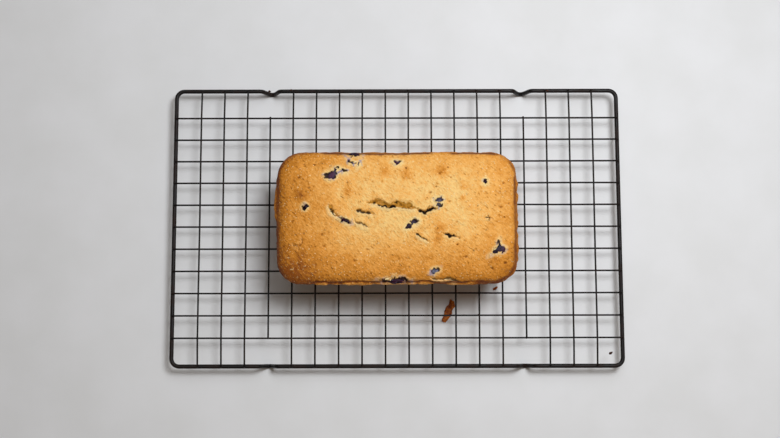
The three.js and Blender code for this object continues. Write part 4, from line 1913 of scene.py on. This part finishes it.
@dataclass
class FallenCrust:
    """A curled strip of pan-side crust and a crumb, fallen through the wires on the table."""

    centre_line: tuple[Point, ...] = (
        (50.6, -66.2), (49.9, -70.5), (47.6, -75.5), (44.9, -80.5), (42.3, -85.4),
    )
    widths: tuple[float, ...] = (1.9, 2.9, 3.2, 2.9, 1.8)
    thickness: float = 0.9
    curl: float = 1.0
    clear_of_table: float = 0.05
    steps: int = 56
    rows: int = 16
    crumb_size: tuple[float, float, float] = (2.6, 1.15, 0.9)
    crumb_turn: float = 31

    def bend_strip(self, strip: bpy.types.Object) -> None:
        """Bends a flat grid along the strip's middle, with ragged edges and curled sides.

        Args:
            strip: a grid that reaches a metre each way.
        """
        raw = read_places(strip) * MM
        stops = np.linspace(-1, 1, len(self.centre_line))
        line = np.array(self.centre_line)
        at = np.column_stack([np.interp(raw[:, 0], stops, line[:, axis]) for axis in (0, 1)])
        width = np.interp(raw[:, 0], stops, self.widths)
        way = (line[-1] - line[0]) / np.linalg.norm(line[-1] - line[0])
        across = np.array([-way[1], way[0]])
        ragged = smooth_noise(at + raw[:, 1:2] * 2, 2.2, 301)
        plan = at + across * (raw[:, 1] * width * (1 + 0.3 * ragged))[:, None]
        torn_end = smooth_noise(raw[:, 1:2] * 3 + raw[:, :1], 0.9, 303)
        plan += way * (0.35 * torn_end * np.abs(raw[:, 0]) ** 6)[:, None]
        height = 0.55 + self.curl * raw[:, 1] ** 2 * (0.6 + 0.4 * raw[:, 0])
        height += 0.35 * smooth_noise(plan, 3.5, 302) + 0.15 * smooth_noise(plan, 1.2, 304)
        height -= height.min() - self.clear_of_table
        write_places(strip, np.column_stack([plan, height]))

    def add_strip(self) -> bpy.types.Object:
        """Models the strip and gives it its thickness.

        Returns:
            The strip.
        """
        deselect_all()
        bpy.ops.mesh.primitive_grid_add(x_subdivisions=self.steps, y_subdivisions=self.rows, size=2)
        strip = name_piece("fallen_crust_strip")
        self.bend_strip(strip)
        solid = strip.modifiers.new("thickness", "SOLIDIFY")
        solid.thickness = self.thickness * MM
        solid.offset = 1.0
        deselect_all()
        strip.select_set(True)
        bpy.context.view_layer.objects.active = strip
        bpy.ops.object.modifier_apply(modifier=solid.name)
        turn_outwards(strip)
        return strip

    def add_crumb(self) -> bpy.types.Object:
        """Models the crumb: a lumpy, flattened ball that rests on the table.

        Returns:
            The crumb.
        """
        low, high = node_box("crust_crumb")
        deselect_all()
        bpy.ops.mesh.primitive_ico_sphere_add(subdivisions=4, radius=MM)
        crumb = name_piece("fallen_crumb")
        own = read_places(crumb) * np.array(self.crumb_size)
        own *= (1 + 0.2 * smooth_noise(own, 1.0, 310) + 0.08 * smooth_noise(own, 0.4, 311))[:, None]
        own[:, :2] = turned(own[:, :2], self.crumb_turn)
        own[:, 2] -= own[:, 2].min()
        write_places(crumb, own + np.array([*((low + high) / 2)[:2], 0.0]))
        return crumb

    def build(self) -> None:
        """Builds the strip and the crumb."""
        crust = PanCrust().build()
        finish_piece(self.add_strip(), crust, Body.RACK, Slot.PAN_SIDE, "crust_flake")
        finish_piece(self.add_crumb(), crust, Body.RACK, Slot.PAN_SIDE, "crust_crumb")


# --- Set -------------------------------------------------------------------------------


@dataclass(frozen=True)
class Lamp:
    """One soft box: its name, place, size in metres, power in watts and colour."""

    name: str
    place: tuple[float, float, float]
    size: tuple[float, float]
    watts: float
    colour: Hex


@dataclass
class Studio:
    """The table top, the soft light from the far right, and the camera straight above."""

    table_side: float = 6.0
    lamps: tuple[Lamp, ...] = (
        Lamp("key_softbox", (0.32, 0.25, 1.08), (0.3, 0.42), 8.4, "F8FBFF"),
        Lamp("key_halo", (0.2, 0.46, 1.05), (0.55, 0.55), 1.9, "F4F9FF"),
        Lamp("room_window", (0.05, 0.95, 1.8), (1.6, 1.6), 6.0, "F2F7FF"),
        Lamp("front_bounce", (0.5, -1.2, 0.6), (1.2, 0.7), 1.6, "FFEEDC"),
    )
    sky: float = 0.115
    sky_colour: Hex = "FFE9D2"
    wall: float = 0.62
    wall_colour: Hex = "FBFBFC"
    camera_place: tuple[float, float, float] = (-0.0041, -0.1092, 0.9886)
    camera_turn: tuple[float, float, float] = (0.1187, 0.0022, -0.002)
    lens: float = 50.0

    def add_table(self) -> None:
        """Lays the table top that the rack stands on."""
        deselect_all()
        bpy.ops.mesh.primitive_plane_add(size=self.table_side)
        table = name_piece("table_top")
        table.data.materials.append(PaintedTable().build())

    def add_lamp(self, lamp: Lamp) -> None:
        """Hangs one soft box that faces the middle of the rack.

        Args:
            lamp: the soft box.
        """
        deselect_all()
        bpy.ops.object.light_add(type="AREA", location=lamp.place)
        box = bpy.context.object
        box.name = lamp.name
        box.data.shape = "RECTANGLE"
        box.data.size, box.data.size_y = lamp.size
        box.data.energy = lamp.watts
        box.data.color = linear(lamp.colour)[:3]
        box.rotation_euler = Vector(lamp.place).to_track_quat("Z", "Y").to_euler()

    def add_sky(self) -> None:
        """Fills the room with a dim, warm, even light; seen directly, its walls are pale."""
        world = bpy.data.worlds.new("soft_room")
        world.use_nodes = True
        tree = world.node_tree
        seen = add_node(tree, "LightPath", output="Is Camera Ray")
        background = tree.nodes["Background"]
        mixed = {
            MIX_FACTOR: seen,
            MIX_FIRST: linear(self.sky_colour),
            MIX_SECOND: linear(self.wall_colour),
        }
        colour = add_node(tree, "Mix", mixed, MIX_RESULT, data_type="RGBA")
        tree.links.new(colour, background.inputs["Color"])
        strength = add_node(tree, "MapRange", (seen, 0.0, 1.0, self.sky, self.wall))
        tree.links.new(strength, background.inputs["Strength"])
        bpy.context.scene.world = world

    def add_camera(self) -> None:
        """Sets the camera nearly straight above, a little to the front."""
        deselect_all()
        bpy.ops.object.camera_add(location=self.camera_place, rotation=self.camera_turn)
        camera = bpy.context.object
        camera.name = "overhead_camera"
        camera.data.lens = self.lens
        camera.data.clip_start = 0.01
        bpy.context.scene.camera = camera

    def build(self) -> None:
        """Sets the table, the lights and the camera."""
        self.add_table()
        for lamp in self.lamps:
            self.add_lamp(lamp)
        self.add_sky()
        self.add_camera()
        bpy.context.scene.view_settings.view_transform = "Standard"


def main() -> None:
    """Builds the cake, its rack and the set."""
    logging.basicConfig(level=logging.INFO, format="%(message)s")
    Studio().build()
    WireRack().build()
    loaf = Loaf()
    loaf.build()
    TopBerries().build(loaf)
    SideBerries().build(loaf)
    SugarGrains().build(loaf)
    TornCrumbs().build(loaf)
    FallenCrust().build()


if __name__ == "__main__":
    main()
